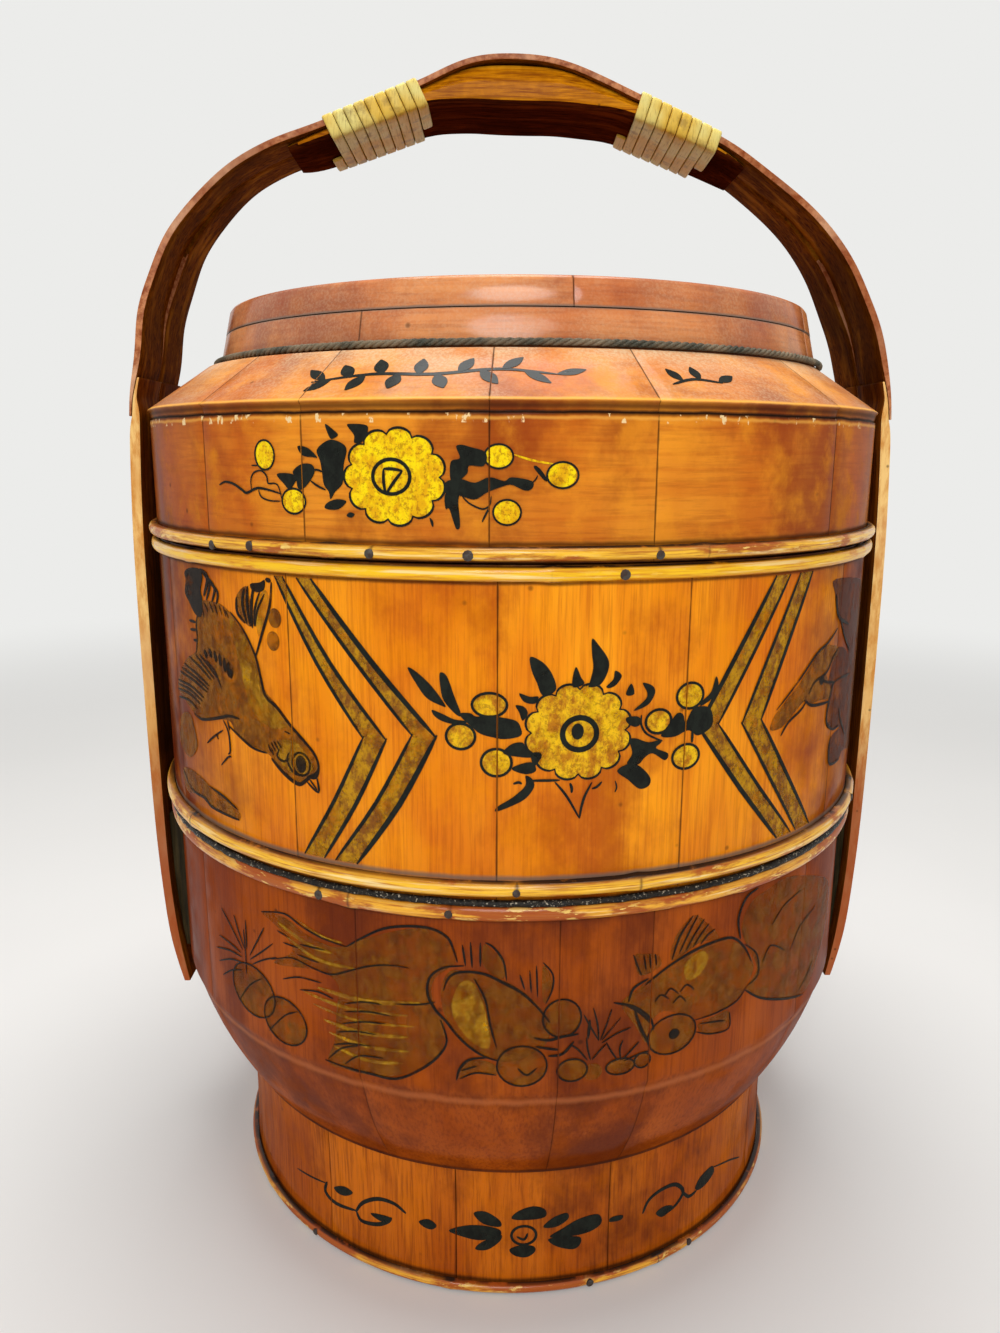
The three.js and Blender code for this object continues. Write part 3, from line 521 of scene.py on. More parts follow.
def lath_skin(name, *shades, along=UPWARD, gloss=0.1, low_shade=0.0):
    """Bamboo lath or worked wood: fibres along it, dirt in patches, a hand-worn gloss, a redder lower end."""
    settings = {"Coat Weight": gloss, "Coat Roughness": 0.2, "Specular IOR Level": 0.0}
    material, tree, shader = new_material(name, settings)
    deep, body, light = (srgb(*shade) for shade in shades)
    place = object_mm(tree)
    lengthwise = stretched(tree, place, *along)
    fibres = noise(tree, lengthwise, 0.9, 4.0, 0.7)
    broad = noise(tree, lengthwise, 6.0, 2.0)
    colour = mixed(tree, eased(tree, fibres, 0.36, 0.68), body, deep)
    colour = mixed(tree, eased(tree, broad, 0.5, 0.72, 0.0, 0.6), colour, light)
    patch = patches(tree, stretched(tree, place, 1, 1, 0.5), 30.0, 0.45, 0.1)
    colour = laid_over(tree, colour, patch, 0.6, deep)
    if low_shade:
        drift = maths(tree, "MULTIPLY_ADD", maths(tree, "SUBTRACT", broad, 0.5), 90.0, part(tree, place, 2))
        colour = mixed(tree, eased(tree, drift, LOW_RED_TO, LOW_RED_FROM, low_shade, 0.0), colour, LOW_RED)
    specks = placed(tree, SPECKS, place=place, size=6.0, share=0.35)[0]
    colour = laid_over(tree, colour, specks, 0.6, DIRT_AND_SHADE_BROWN)
    roughness = maths(tree, "MULTIPLY_ADD", patch, 0.22, 0.28)
    feed(tree, shader, colour, roughness, maths(tree, "MULTIPLY_ADD", fibres, 0.7, broad), 0.18)
    return material


def plain_board(name, body, deep):
    """Unfinished board with its grain along X."""
    material, tree, shader = new_material(name, {"Specular IOR Level": 0.3})
    place = object_mm(tree)
    fibres = noise(tree, stretched(tree, place, 0.04, 1, 1), 1.6, 4.0, 0.65)
    rings = noise(tree, stretched(tree, place, 0.05, 1, 1), 14.0, 2.0)
    colour = mixed(tree, eased(tree, fibres, 0.3, 0.75), srgb(*body), srgb(*deep))
    colour = mixed(tree, eased(tree, rings, 0.45, 0.75, 0.0, 0.5), colour, srgb(*deep))
    colour = laid_over(tree, colour, patches(tree, place, 45.0, 0.4, 0.1), 0.4, DIRT_AND_SHADE_BROWN)
    feed(tree, shader, colour, eased(tree, fibres, 0.2, 0.8, 0.5, 0.75), fibres, 0.25)
    return material


def rattan_cane(name, pale, golden, dark):
    """Split cane wound round the grip: fine fibres along the strip and dirt in patches."""
    settings = {"Coat Weight": 0.08, "Coat Roughness": 0.3, "Specular IOR Level": 0.12}
    material, tree, shader = new_material(name, settings)
    place = object_mm(tree)
    fibres = noise(tree, stretched(tree, place, 1, 0.05, 0.12), 0.4, 3.0, 0.6)
    across = eased(tree, noise(tree, place, 16.0, 2.0), 0.4, 0.62)
    colour = mixed(tree, across, srgb(*pale), srgb(*golden))
    colour = mixed(tree, eased(tree, fibres, 0.5, 0.8, 0.0, 0.6), colour, srgb(*dark))
    colour = laid_over(tree, colour, patches(tree, place, 6.0, 0.3, 0.08), 0.5, srgb(*dark))
    feed(tree, shader, colour, eased(tree, fibres, 0.3, 0.8, 0.35, 0.55), fibres, 0.2)
    return material


def twisted_fibre(name, light, dark):
    """Rough dark cord with dust in patches."""
    material, tree, shader = new_material(name, {"Specular IOR Level": 0.2})
    place = object_mm(tree)
    fibres = noise(tree, stretched(tree, place, 1, 1, 2.2), 0.35, 4.0, 0.7)
    colour = mixed(tree, eased(tree, fibres, 0.35, 0.7), srgb(*dark), srgb(*light))
    colour = laid_over(tree, colour, patches(tree, place, 18.0, 0.5, 0.15), 0.28, DUST)
    feed(tree, shader, colour, eased(tree, fibres, 0.3, 0.8, 0.7, 0.95), fibres, 0.3)
    return material


def caked_dirt(name, black, brown):
    """Black dirt with pale grains in it."""
    material, tree, shader = new_material(name, {"Specular IOR Level": 0.2})
    place = object_mm(tree)
    lumps = noise(tree, place, 1.6, 4.0, 0.7)
    grains = eased(tree, noise(tree, place, 0.9, 3.0, 0.75), 0.58, 0.68, 0.0, 0.8)
    colour = mixed(tree, eased(tree, lumps, 0.4, 0.7), srgb(*black), srgb(*brown))
    colour = mixed(tree, grains, colour, GRAIN_PALE)
    feed(tree, shader, colour, eased(tree, lumps, 0.3, 0.8, 0.35, 0.7), lumps, 0.5)
    return material


def aged_iron(name, bare, rusty):
    """Dull iron with patches of brown rust."""
    material, tree, shader = new_material(name, {"Specular IOR Level": 0.5})
    rust = patches(tree, object_mm(tree), 2.5, 0.5, 0.08)
    colour = mixed(tree, rust, srgb(*bare), srgb(*rusty))
    tree.links.new(maths(tree, "MULTIPLY_ADD", rust, -0.7, 0.8), shader.inputs["Metallic"])
    feed(tree, shader, colour, maths(tree, "MULTIPLY_ADD", rust, 0.35, 0.38), rust, 0.1)
    return material


def worn_paint(name, bright, dull, dark, wear, flecks, cover=1.0):
    """Paint laid on the lacquer with a brush, finely flecked. It thins out where it is worn."""
    settings = {"Specular IOR Level": 0.0, "Coat Weight": 0.24, "Coat Roughness": 0.15}
    material, tree, shader = new_material(name, settings)
    place = object_mm(tree)
    brushed = noise(tree, stretched(tree, place, 1, 1, 0.6), 3.6, 5.0, 0.7)
    colour = mixed(tree, eased(tree, brushed, 0.38, 0.6), srgb(*dull), srgb(*bright))
    grains = eased(tree, noise(tree, place, 1.3, 4.0, 0.75), 0.5, 0.6, 0.0, flecks)
    colour = mixed(tree, grains, colour, srgb(*dark))
    alpha = maths(tree, "MULTIPLY_ADD", patches(tree, place, 8.0, wear, 0.12), -0.65 * cover, cover)
    feed(tree, shader, colour, eased(tree, brushed, 0.3, 0.7, 0.3, 0.5), brushed, 0.08, alpha=alpha)
    return material


MIDDLE_WOOD = lacquered_wood(
    "amber_lacquer", (160, 62, 6), (216, 110, 10), (250, 158, 24), blotch=0.34, sides=1.0,
    dirt_and_shade_lines=[(MIDDLE_BOTTOM_Z, 2.0, 1.2, 0.95), (MIDDLE_RIM_Z - 5.2, 0.9, 0.8, 0.6),
                (MIDDLE_RIM_Z, 1.4, 0.8, 0.9)],
    lines=[(MIDDLE_BOTTOM_Z + 7.3, 1.5, 1.0, 0.8, GREY_DUST)],
)
LID_WOOD = lacquered_wood(
    "lid_lacquer", (136, 48, 8), (192, 90, 14), (236, 150, 40), blotch=0.42, streak=0.3, mottle=0.55,
    # The line just under the shoulder's edge is painted shade on the bead's downward face
    dirt_and_shade_lines=[(LID_BOTTOM_Z, 1.2, 0.8, 0.9), (LID_BOTTOM_Z + 5.2, 1.3, 1.2, 0.7),
                (SHOULDER_Z - 1.6, 1.9, 0.4, 0.75), (BEAD_Z - 0.1, 1.4, 0.9, 1.0)],
    # Golden lines along the shoulder's edge and on the wall's top under the bead: painted highlights
    lines=[(SHOULDER_Z + 0.2, 0.7, 0.5, 0.75, PAINTED_HIGHLIGHT_GOLD), (BEAD_Z - 1.6, 0.8, 1.4, 0.5, PAINTED_HIGHLIGHT_GOLD)],
    films=[(SHOULDER_Z - 1, SHOULDER_Z + 1, 0.42), (SHOULDER_Z + 6, COLLAR_Z + 1, 0.85)],
    chips=[(BEAD_Z - 1.7, 2.0)], around=True, sides=0.5,
)
COLLAR_WOOD = lacquered_wood(
    "collar_lacquer", (132, 46, 16), (186, 92, 38), (222, 140, 76), blotch=0.5, seam_dirt=0.5, streak=0.35,
    dirt_and_shade_lines=[(COLLAR_Z + 0.4, 1.8, 1.2, 0.8)], lines=[(COLLAR_SPLIT_Z, 0.9, 0.7, 0.9, GREY_DUST)],
    films=[(COLLAR_Z - 9, COLLAR_Z - 7, 0.28)], gloss=0.6, around=True,
)
BASE_WOOD = lacquered_wood(
    "base_lacquer", (84, 28, 6), (132, 54, 10), (172, 82, 16), blotch=0.46, seam_dirt=0.4, sides=0.6,
    # The soft line under the arris is painted shade where the band turns down, and the line at the waist is
    # painted shade on the band's lower edge
    dirt_and_shade_lines=[(BASE_RIM_Z, 2.4, 1.6, 0.95), (ARRIS_Z - 2, 5.0, 3.0, 0.25), (WAIST_Z + 0.5, 2.4, 2.0, 0.7)],
    # The light line along the arris is a painted highlight
    lines=[(ARRIS_Z - 1.5, 2.4, 2.6, 0.4, ARRIS_PAINTED_HIGHLIGHT)],
)
FOOT_WOOD = lacquered_wood(
    "foot_lacquer", (84, 28, 6), (152, 64, 8), (198, 104, 16), blotch=0.34, seam_dirt=0.35, streak=0.5,
    # The dark line at the foot's top is painted shadow under the band that overhangs it
    dirt_and_shade_lines=[(4, 1.6, 1.0, 0.8), (FOOT_HEIGHT, 2.2, 1.5, 0.85)], sides=0.5,
)
INSIDE_WOOD = plain_board("bare_board", (176, 128, 78), (120, 78, 42))
PANEL_WOOD = plain_board("panel_lacquer", (150, 68, 26), (92, 36, 12))
GOLDEN_HOOP = split_bamboo("golden_bamboo", (250, 198, 24), (206, 120, 14), 0.2)
WORN_HOOP = split_bamboo("worn_bamboo", (250, 194, 50), (164, 76, 20), 0.36)
RED_HOOP = split_bamboo("reddened_bamboo", (240, 176, 52), (160, 68, 18), 0.54)
LATH_BAMBOO = lath_skin("lath_bamboo", (70, 32, 6), (130, 68, 10), (182, 112, 30), gloss=0.03)
LATH_EDGE = lath_skin(
    "lath_edge", (210, 142, 66), (248, 206, 130), (255, 234, 184), along=(0.3, 1, 0.08), low_shade=0.85,
)
BOW_BAMBOO = lath_skin("bow_bamboo", (70, 34, 4), (134, 76, 10), (188, 124, 32), along=OVER_BOW, gloss=0.02)
BOW_EDGE = lath_skin("bow_edge", (134, 66, 32), (196, 130, 86), (240, 196, 156), along=OVER_BOW)
GRIP_WOOD = lath_skin("grip_wood", (136, 70, 4), (206, 128, 8), (236, 172, 34), along=ACROSS, gloss=0.06)
# A darker copy of the grip's finish: painted shade on the faces that turn down
GRIP_PAINTED_SHADE = lath_skin("grip_underside_painted_shade", (40, 12, 4), (84, 32, 8), (122, 56, 14), along=ACROSS, gloss=0.0)
BATTEN_WOOD = lath_skin("batten_wood", (26, 22, 14), (64, 54, 34), (96, 82, 54))
RATTAN = rattan_cane("rattan_cane", (226, 212, 128), (222, 182, 70), (124, 90, 44))
CORD_FIBRE = twisted_fibre("cord_fibre", (104, 104, 90), (30, 34, 30))
CRUST = caked_dirt("joint_dirt", (10, 8, 6), (44, 36, 26))
IRON = aged_iron("nail_iron", (78, 74, 70), (52, 34, 24))
LEAF_GOLD = worn_paint("gold_paint", (250, 218, 12), (226, 168, 12), (150, 80, 10), 0.12, 0.6)
DULL_GOLD = worn_paint("dull_gold_paint", (240, 190, 22), (186, 116, 18), (126, 64, 12), 0.34, 0.5, 0.95)
BROWN_GOLD = worn_paint("brown_gold_paint", (158, 98, 18), (112, 60, 12), (78, 38, 10), 0.45, 0.35, 0.7)
FISH_GILT = worn_paint("fish_gilt_paint", (214, 160, 26), (150, 94, 16), (96, 50, 10), 0.6, 0.45, 0.55)
FADED_GOLD = worn_paint("faded_gold_paint", (196, 142, 20), (136, 82, 24), (96, 50, 20), 0.45, 0.5, 0.88)
WING_BROWN = worn_paint("wing_brown_paint", (100, 48, 26), (82, 36, 20), (54, 24, 14), 0.45, 0.3, 0.62)
THIN_BROWN = worn_paint("thin_brown_paint", (150, 90, 16), (112, 58, 12), (78, 38, 10), 0.55, 0.35, 0.5)
BLACK_PAINT = worn_paint("black_paint", (28, 32, 26), (18, 20, 16), (12, 10, 8), 0.1, 0.3)
THIN_BLACK = worn_paint("thin_black_paint", (40, 28, 18), (26, 18, 12), (14, 10, 8), 0.3, 0.3, 0.9)


# Modelling helpers
STAVE_SMOOTH, HOOP_SMOOTH, PAINT_SMOOTH = 32, 50, 30  # degrees up to which the shading is smooth


def to_mode(mode):
    """Goes to OBJECT or EDIT mode."""
    if not bpy.context.mode.startswith(mode):
        bpy.ops.object.mode_set(mode=mode)


def deselect_all():
    to_mode("OBJECT")
    bpy.ops.object.select_all(action="DESELECT")


def make_active(piece):
    deselect_all()
    piece.select_set(True)
    bpy.context.view_layer.objects.active = piece


def select_corners(action="SELECT"):
    """Goes into edit mode and selects all of the mesh, or nothing."""
    to_mode("EDIT")
    bpy.ops.mesh.select_all(action=action)


def weld_all():
    select_corners()
    bpy.ops.mesh.remove_doubles(threshold=WELD)


def face_outwards():
    select_corners()
    bpy.ops.mesh.normals_make_consistent(inside=False)
    to_mode("OBJECT")


def apply_modifier(piece, kind, **settings):
    make_active(piece)
    bpy.ops.object.modifier_add(type=kind)
    modifier = piece.modifiers[-1]
    for key, value in settings.items():
        setattr(modifier, key, value)
    bpy.ops.object.modifier_apply(modifier=modifier.name)


def smooth_up_to(piece, angle):
    make_active(piece)
    bpy.ops.object.shade_smooth_by_angle(angle=math.radians(angle))


def soften(piece, width, segments=2, corner=30):
    """Rounds the sharp edges by a width in millimetres, and smooths the shading between them."""
    apply_modifier(piece, "BEVEL", width=width * MM, segments=segments, limit_method="ANGLE",
                   angle_limit=math.radians(corner), use_clamp_overlap=True)
    smooth_up_to(piece, STAVE_SMOOTH)


def start_drawing(name, point):
    """Adds a small plane at a point and draws it together to one vertex, ready to be extruded."""
    deselect_all()
    bpy.ops.mesh.primitive_plane_add(size=MM, location=point)
    piece = bpy.context.object
    piece.name = piece.data.name = name
    bpy.ops.object.transform_apply(location=True, rotation=True, scale=True)
    select_corners()
    bpy.ops.mesh.merge(type="CENTER")
    return piece


def extrude_through(points):
    for here, there in zip(points, points[1:]):
        bpy.ops.mesh.extrude_region_move(TRANSFORM_OT_translate={"value": there - here})


def on_ring(radius, z, azimuth):
    angle = math.radians(azimuth)
    return Vector((radius * math.sin(angle), -radius * math.cos(angle), z)) * MM


def turned(name, profile, start=0.0, end=360.0, step=STAVE_STEP):
    """A closed (radius, height) profile drawn by extrusion and spun through the circle or part of it."""
    points = [on_ring(radius, z, start) for radius, z in profile]
    piece = start_drawing(name, points[0])
    extrude_through(points + points[:1])
    weld_all()
    if end - start < 360:
        bpy.ops.mesh.select_all(action="SELECT")
        bpy.ops.mesh.edge_face_add()
    bpy.ops.mesh.select_all(action="SELECT")
    steps = math.ceil((end - start) / step)
    bpy.ops.mesh.spin(steps=steps, angle=-math.radians(end - start), center=(0, 0, 0), axis=(0, 0, 1))
    weld_all()
    face_outwards()
    return piece


def set_values(piece, name, value_at):
    """Stores one number per vertex, worked out from the vertex's place."""
    layer = piece.data.attributes.new(name, "FLOAT", "POINT")
    for vertex, entry in zip(piece.data.vertices, layer.data):
        entry.value = value_at(vertex.co)


def azimuth_of(point):
    return math.degrees(math.atan2(point.x, -point.y))


def turn_between(azimuth, middle):
    return (azimuth - middle + 180) % 360 - 180


def dress(piece, body, material, replaced=()):
    """Hands a finished piece to its body, with its finish and the solids it stands for."""
    piece.data.materials.clear()
    piece.data.materials.append(material)
    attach(piece, body)
    if replaced:
        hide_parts(*replaced)
    return piece


# Staves
STAVE_EDGE = 0.14  # how much a stave's edges are rounded
SEAM_WIDTH = 0.05
BAND_HEIGHT = ARRIS_Z - WAIST_Z
BAND_SHARES = [0.12, 0.24, 0.36, 0.48, 0.6, 0.72, 0.84]
INNER_BAND_SHARES = [0.67, 0.5]
ROUND_SHARES = [0.35, 0.7]  # steps round the arris, as shares of its height
CROZE_DEPTH = 2.6  # of the groove that holds the board
CREASE_DEPTH = 0.5  # of the crease under the lid's edge


def band_point(share, inset=0):
    """A place on the bulging band between waist and arris, or inside it by the inset."""
    radius = WAIST_RADIUS + (ARRIS_RADIUS - WAIST_RADIUS) * share + BAND_BULGE * math.sin(math.pi * share)
    return (radius - inset, WAIST_Z + share * BAND_HEIGHT)


def arris_point(share):
    swing = math.sin(share * math.pi / 2)
    return (ARRIS_RADIUS + (BASE_RADIUS - ARRIS_RADIUS) * swing, ARRIS_Z + share * ARRIS_ROUND)


def band_inside(z):
    return band_point((z - WAIST_Z) / BAND_HEIGHT, WALL_THICKNESS)[0]


FLOOR_TOP_Z = BASE_FLOOR_Z + BOARD_SLOT - SEAT_GAP
BASE_CROZE = band_inside(FLOOR_TOP_Z) + CROZE_DEPTH
PROFILES = {
    "base": [
        (WAIST_RADIUS, WAIST_Z),
        (WAIST_RADIUS, WAIST_Z + WAIST_LIP),
        *map(band_point, BAND_SHARES),
        (ARRIS_RADIUS, ARRIS_Z),
        *map(arris_point, ROUND_SHARES),
        (BASE_RADIUS, ARRIS_Z + ARRIS_ROUND),
        (BASE_RADIUS, BASE_RIM_Z),
        (TONGUE_RADIUS, BASE_RIM_Z),
        (TONGUE_RADIUS, BASE_RIM_Z + TONGUE_HEIGHT),
        (BASE_INNER, BASE_RIM_Z + TONGUE_HEIGHT),
        (BASE_INNER, ARRIS_Z + ARRIS_ROUND),
        *(band_point(share, WALL_THICKNESS) for share in INNER_BAND_SHARES),
        (band_inside(FLOOR_TOP_Z), FLOOR_TOP_Z),
        (BASE_CROZE, FLOOR_TOP_Z),
        (BASE_CROZE, BASE_FLOOR_Z - SEAT_GAP),
        (band_inside(BASE_FLOOR_Z), BASE_FLOOR_Z - SEAT_GAP),
        (WAIST_RADIUS - WALL_THICKNESS, WAIST_Z),
    ],
    "middle": [
        (TIER_RADIUS, MIDDLE_BOTTOM_Z),
        (TIER_RADIUS, MIDDLE_RIM_Z),
        (TONGUE_RADIUS, MIDDLE_RIM_Z),
        (TONGUE_RADIUS, MIDDLE_RIM_Z + TONGUE_HEIGHT),
        (TIER_INNER, MIDDLE_RIM_Z + TONGUE_HEIGHT),
        (TIER_INNER, MIDDLE_FLOOR_Z + BOARD_SLOT - SEAT_GAP),
        (CROZE_RADIUS, MIDDLE_FLOOR_Z + BOARD_SLOT - SEAT_GAP),
        (CROZE_RADIUS, MIDDLE_FLOOR_Z - SEAT_GAP),
        (TIER_INNER, MIDDLE_FLOOR_Z - SEAT_GAP),
        (TIER_INNER, MIDDLE_LAP_Z),
        (SKIRT_RADIUS, MIDDLE_LAP_Z),
        (SKIRT_RADIUS, MIDDLE_BOTTOM_Z),
    ],
    "lid": [
        (TIER_RADIUS, LID_BOTTOM_Z),
        (TIER_RADIUS, BEAD_Z - CREASE_DEPTH),
        (TIER_RADIUS - CREASE_DEPTH, BEAD_Z),
        (TIER_RADIUS, SHOULDER_Z - BEAD_ROUND * 1.6),
        (BEAD_RADIUS - BEAD_ROUND, SHOULDER_Z - BEAD_ROUND * 0.6),
        (BEAD_RADIUS - BEAD_ROUND, SHOULDER_Z),
        (SHOULDER_TOP_RADIUS, COLLAR_Z - SEAT_GAP),
        (PANEL_RADIUS, COLLAR_Z - SEAT_GAP),
        (PANEL_RADIUS, PANEL_SEAT_Z),
        (DOME_RADIUS, PANEL_SEAT_Z),
        (DOME_RADIUS, DOME_Z),
        (TIER_INNER, LID_INNER_TOP_Z),
        (TIER_INNER, LID_LAP_Z),
        (SKIRT_RADIUS, LID_LAP_Z),
        (SKIRT_RADIUS, LID_BOTTOM_Z),
    ],
}


def mark_stave(piece, radius, start, end, tone):
    """Stores the distances to both seams in millimetres, and the stave's own tone."""
    middle, half = (start + end) / 2, (end - start) / 2
    layer = piece.data.attributes.new("stave_marks", "FLOAT_VECTOR", "POINT")
    for vertex, entry in zip(piece.data.vertices, layer.data):
        away = turn_between(azimuth_of(vertex.co), middle)
        entry.vector = (radius * math.radians(half + away), radius * math.radians(half - away), tone)


def make_stave(name, profile, start, end, gap):
    """A curved piece between two seams, short of each by half of their width."""
    radius = max(radius for radius, _ in profile)
    half_gap = math.degrees(gap / radius) / 2
    start, end = start + half_gap, end - half_gap
    piece = turned(name, profile, start, end)
    soften(piece, STAVE_EDGE)
    mark_stave(piece, radius, start, end, HAND.random())
    return piece


def make_staves(tier, body, material):
    seam, widths = STAVES[tier]
    for number, width in enumerate(widths, 1):
        piece = make_stave(f"{tier}_wall_{number:02d}", PROFILES[tier], seam, seam + width, SEAM_WIDTH)
        dress(piece, body, material, [f"{tier}_stave_{number:02d}"])
        seam += width


# Foot, collar and boards
FOOT_SEAMS = [17, 58, 104, 151, 196, 243, 290, 322.5, 349]
COLLAR_LOWER_SEAMS = [-26.7, 60, 118, 163, 205, 262]
COLLAR_UPPER_SEAMS = [6.2, 61, 124, 180, 229, 270]
COLLAR_LEAN = 2  # the collar's outside sits this much nearer the right than its inside
LEAN_FROM = COLLAR_INNER + COLLAR_ROUND * 2


def make_segments(name, node, body, slot, material, profile, seams, gap, lean):
    """A ring made of short curved pieces that meet at the given seams."""
    for number, (seam, following) in enumerate(zip(seams, seams[1:] + [seams[0] + 360]), 1):
        piece = make_stave(f"{name}_{number:02d}", profile, seam, following, gap)
        for vertex in piece.data.vertices:
            if vertex.co.xy.length / MM > LEAN_FROM:
                vertex.co.x += lean * MM
        dress(piece, body, material, [node])


def collar_point(z):
    share = (z - COLLAR_Z) / (COLLAR_TOP_Z - COLLAR_Z)
    return (COLLAR_FOOT_RADIUS + (COLLAR_TOP_RADIUS - COLLAR_FOOT_RADIUS) * share, z)


def foot_radius(z):
    return FOOT_RADIUS - FOOT_HOLLOWING * math.sin(math.pi * z / FOOT_HEIGHT)


FOOT_PROFILE = [
    (FOOT_RADIUS, 0),
    *((foot_radius(FOOT_HEIGHT * share), FOOT_HEIGHT * share) for share in (0.25, 0.5, 0.75)),
    (FOOT_RADIUS, FOOT_HEIGHT),
    (FOOT_RADIUS - FOOT_THICKNESS, FOOT_HEIGHT),
    (FOOT_RADIUS - FOOT_THICKNESS, 0),
]
COLLAR_LOWER_PROFILE = [
    (COLLAR_FOOT_RADIUS, COLLAR_Z),
    (collar_point(COLLAR_SPLIT_Z)[0], COLLAR_SPLIT_Z - SEAT_GAP),
    (COLLAR_INNER, COLLAR_SPLIT_Z - SEAT_GAP),
    (COLLAR_INNER, COLLAR_Z),
]
COLLAR_UPPER_PROFILE = [
    collar_point(COLLAR_SPLIT_Z),
    collar_point(COLLAR_TOP_Z - COLLAR_ROUND),
    (COLLAR_TOP_RADIUS - COLLAR_ROUND * 0.3, COLLAR_TOP_Z - COLLAR_ROUND * 0.3),
    (COLLAR_TOP_RADIUS - COLLAR_ROUND, COLLAR_TOP_Z),
    (COLLAR_INNER + COLLAR_ROUND, COLLAR_TOP_Z),
    (COLLAR_INNER, COLLAR_TOP_Z - COLLAR_ROUND),
    (COLLAR_INNER, COLLAR_SPLIT_Z),
]
SEGMENT_RINGS = [  # name, solid, body, slot, finish, profile, seams, width of a seam, lean
    ("foot_segment", "foot_ring", "base", "dark_lacquer", FOOT_WOOD, FOOT_PROFILE, FOOT_SEAMS, 0.25, 0),
    ("collar_under", "collar_lower", "lid", "red_lacquer", COLLAR_WOOD, COLLAR_LOWER_PROFILE,
     COLLAR_LOWER_SEAMS, 0.15, COLLAR_LEAN),
    ("collar_over", "collar_upper", "lid", "red_lacquer", COLLAR_WOOD, COLLAR_UPPER_PROFILE,
     COLLAR_UPPER_SEAMS, 0.15, COLLAR_LEAN),
]


# Hoops
HOOP_SECTION_STEPS = 7
HOOP_FLATNESS = 0.6  # the lower, the flatter outside
HOOP_DRAW_IN = 0.25  # how much closer than the solid a hoop lies to its wall
NAIL_PINCH, NAIL_REACH, NAIL_STAIN_REACH = 0.12, 0.9, 0.75  # the reaches are in degrees
KNUCKLE_SWELL, KNUCKLE_REACH, KNUCKLE_STAIN_REACH = 0.2, 1.1, 0.5
KNUCKLE_STAIN, NAIL_STAIN_LOSS = 0.85, 0.1
SLOW_SWAY, FAST_SWAY = 3, 7  # waves round the hoop
HOOPS = [  # name, solid, body, radius of the wall, bottom, height, radius, sway, finish, knuckles' azimuths
    ("foot_band", "foot_hoop", "base", FOOT_RADIUS, 0.3, 3.4, 116.3, 0.06, RED_HOOP,
     [-58, -12, 27, 88, 140, 196, 250]),
    ("base_band", "base_hoop", "base", BASE_RADIUS, 155.8, 5.4, 140, 0.12, RED_HOOP,
     [-22.6, 31, 92, 150, 208, 270]),
    ("middle_lower_band", "middle_bottom_hoop", "middle_tier", TIER_RADIUS, 164.1, 4.8, 141.1, 0.15,
     WORN_HOOP, [14.3, 71, 128, 190, 244, 306]),
    ("middle_upper_band", "middle_top_hoop", "middle_tier", TIER_RADIUS, 257.6, 4.3, 140.4, 0.1,
     GOLDEN_HOOP, [-50, 3, 58, 119, 177, 236]),
    ("lid_band", "lid_hoop", "lid", TIER_RADIUS, 263.2, 4.1, 141, 0.12, WORN_HOOP,
     [-23.8, 21.4, 77, 139, 200, 266]),
]
NAIL_HEAD = 2.8  # across
NAIL_LENGTH = 0.8
NAIL_SINK = 0.35
NAIL_SIZES = (0.85, 1.15)  # the smallest and largest head, as shares of the usual one
NAIL_TOP_FACING = 0.9
NAIL_STEPS = [(0.17, 0.08), (0.14, 0.03)]  # each inset and rise of the head, in shares of its width
NAILS = {  # body: {radius of the surface the nails stand on: [(azimuth, height)]}
    "lid": {140.6: [(-42.7, 264.4), (-35.3, 265.2), (-18.2, 264.9), (-6.7, 265.0), (15.3, 264.9), (76, 265.1),
                    (133, 265), (214, 265.2), (281, 265)]},
    "middle_tier": {140.1: [(11.2, 259.6), (97, 259.8), (188, 259.6), (262, 259.7)],
                    140.8: [(-1, 166.1), (64, 166.4), (139, 166.3), (231, 166.5)]},
    "base": {139.6: [(-26.9, 158.3), (-9.3, 158.1), (81, 158.6), (170, 158.3), (254, 158.6)],
             116.1: [(13.1, 1.9), (34.5, 2.2), (-40.8, 2), (128, 2), (219, 2)]},
}


def nearness(azimuth, places, reach):
    """1 at the nearest of the places, falling to nothing over the reach."""
    return max(math.exp(-((turn_between(azimuth, place) / reach) ** 2)) for place in places)


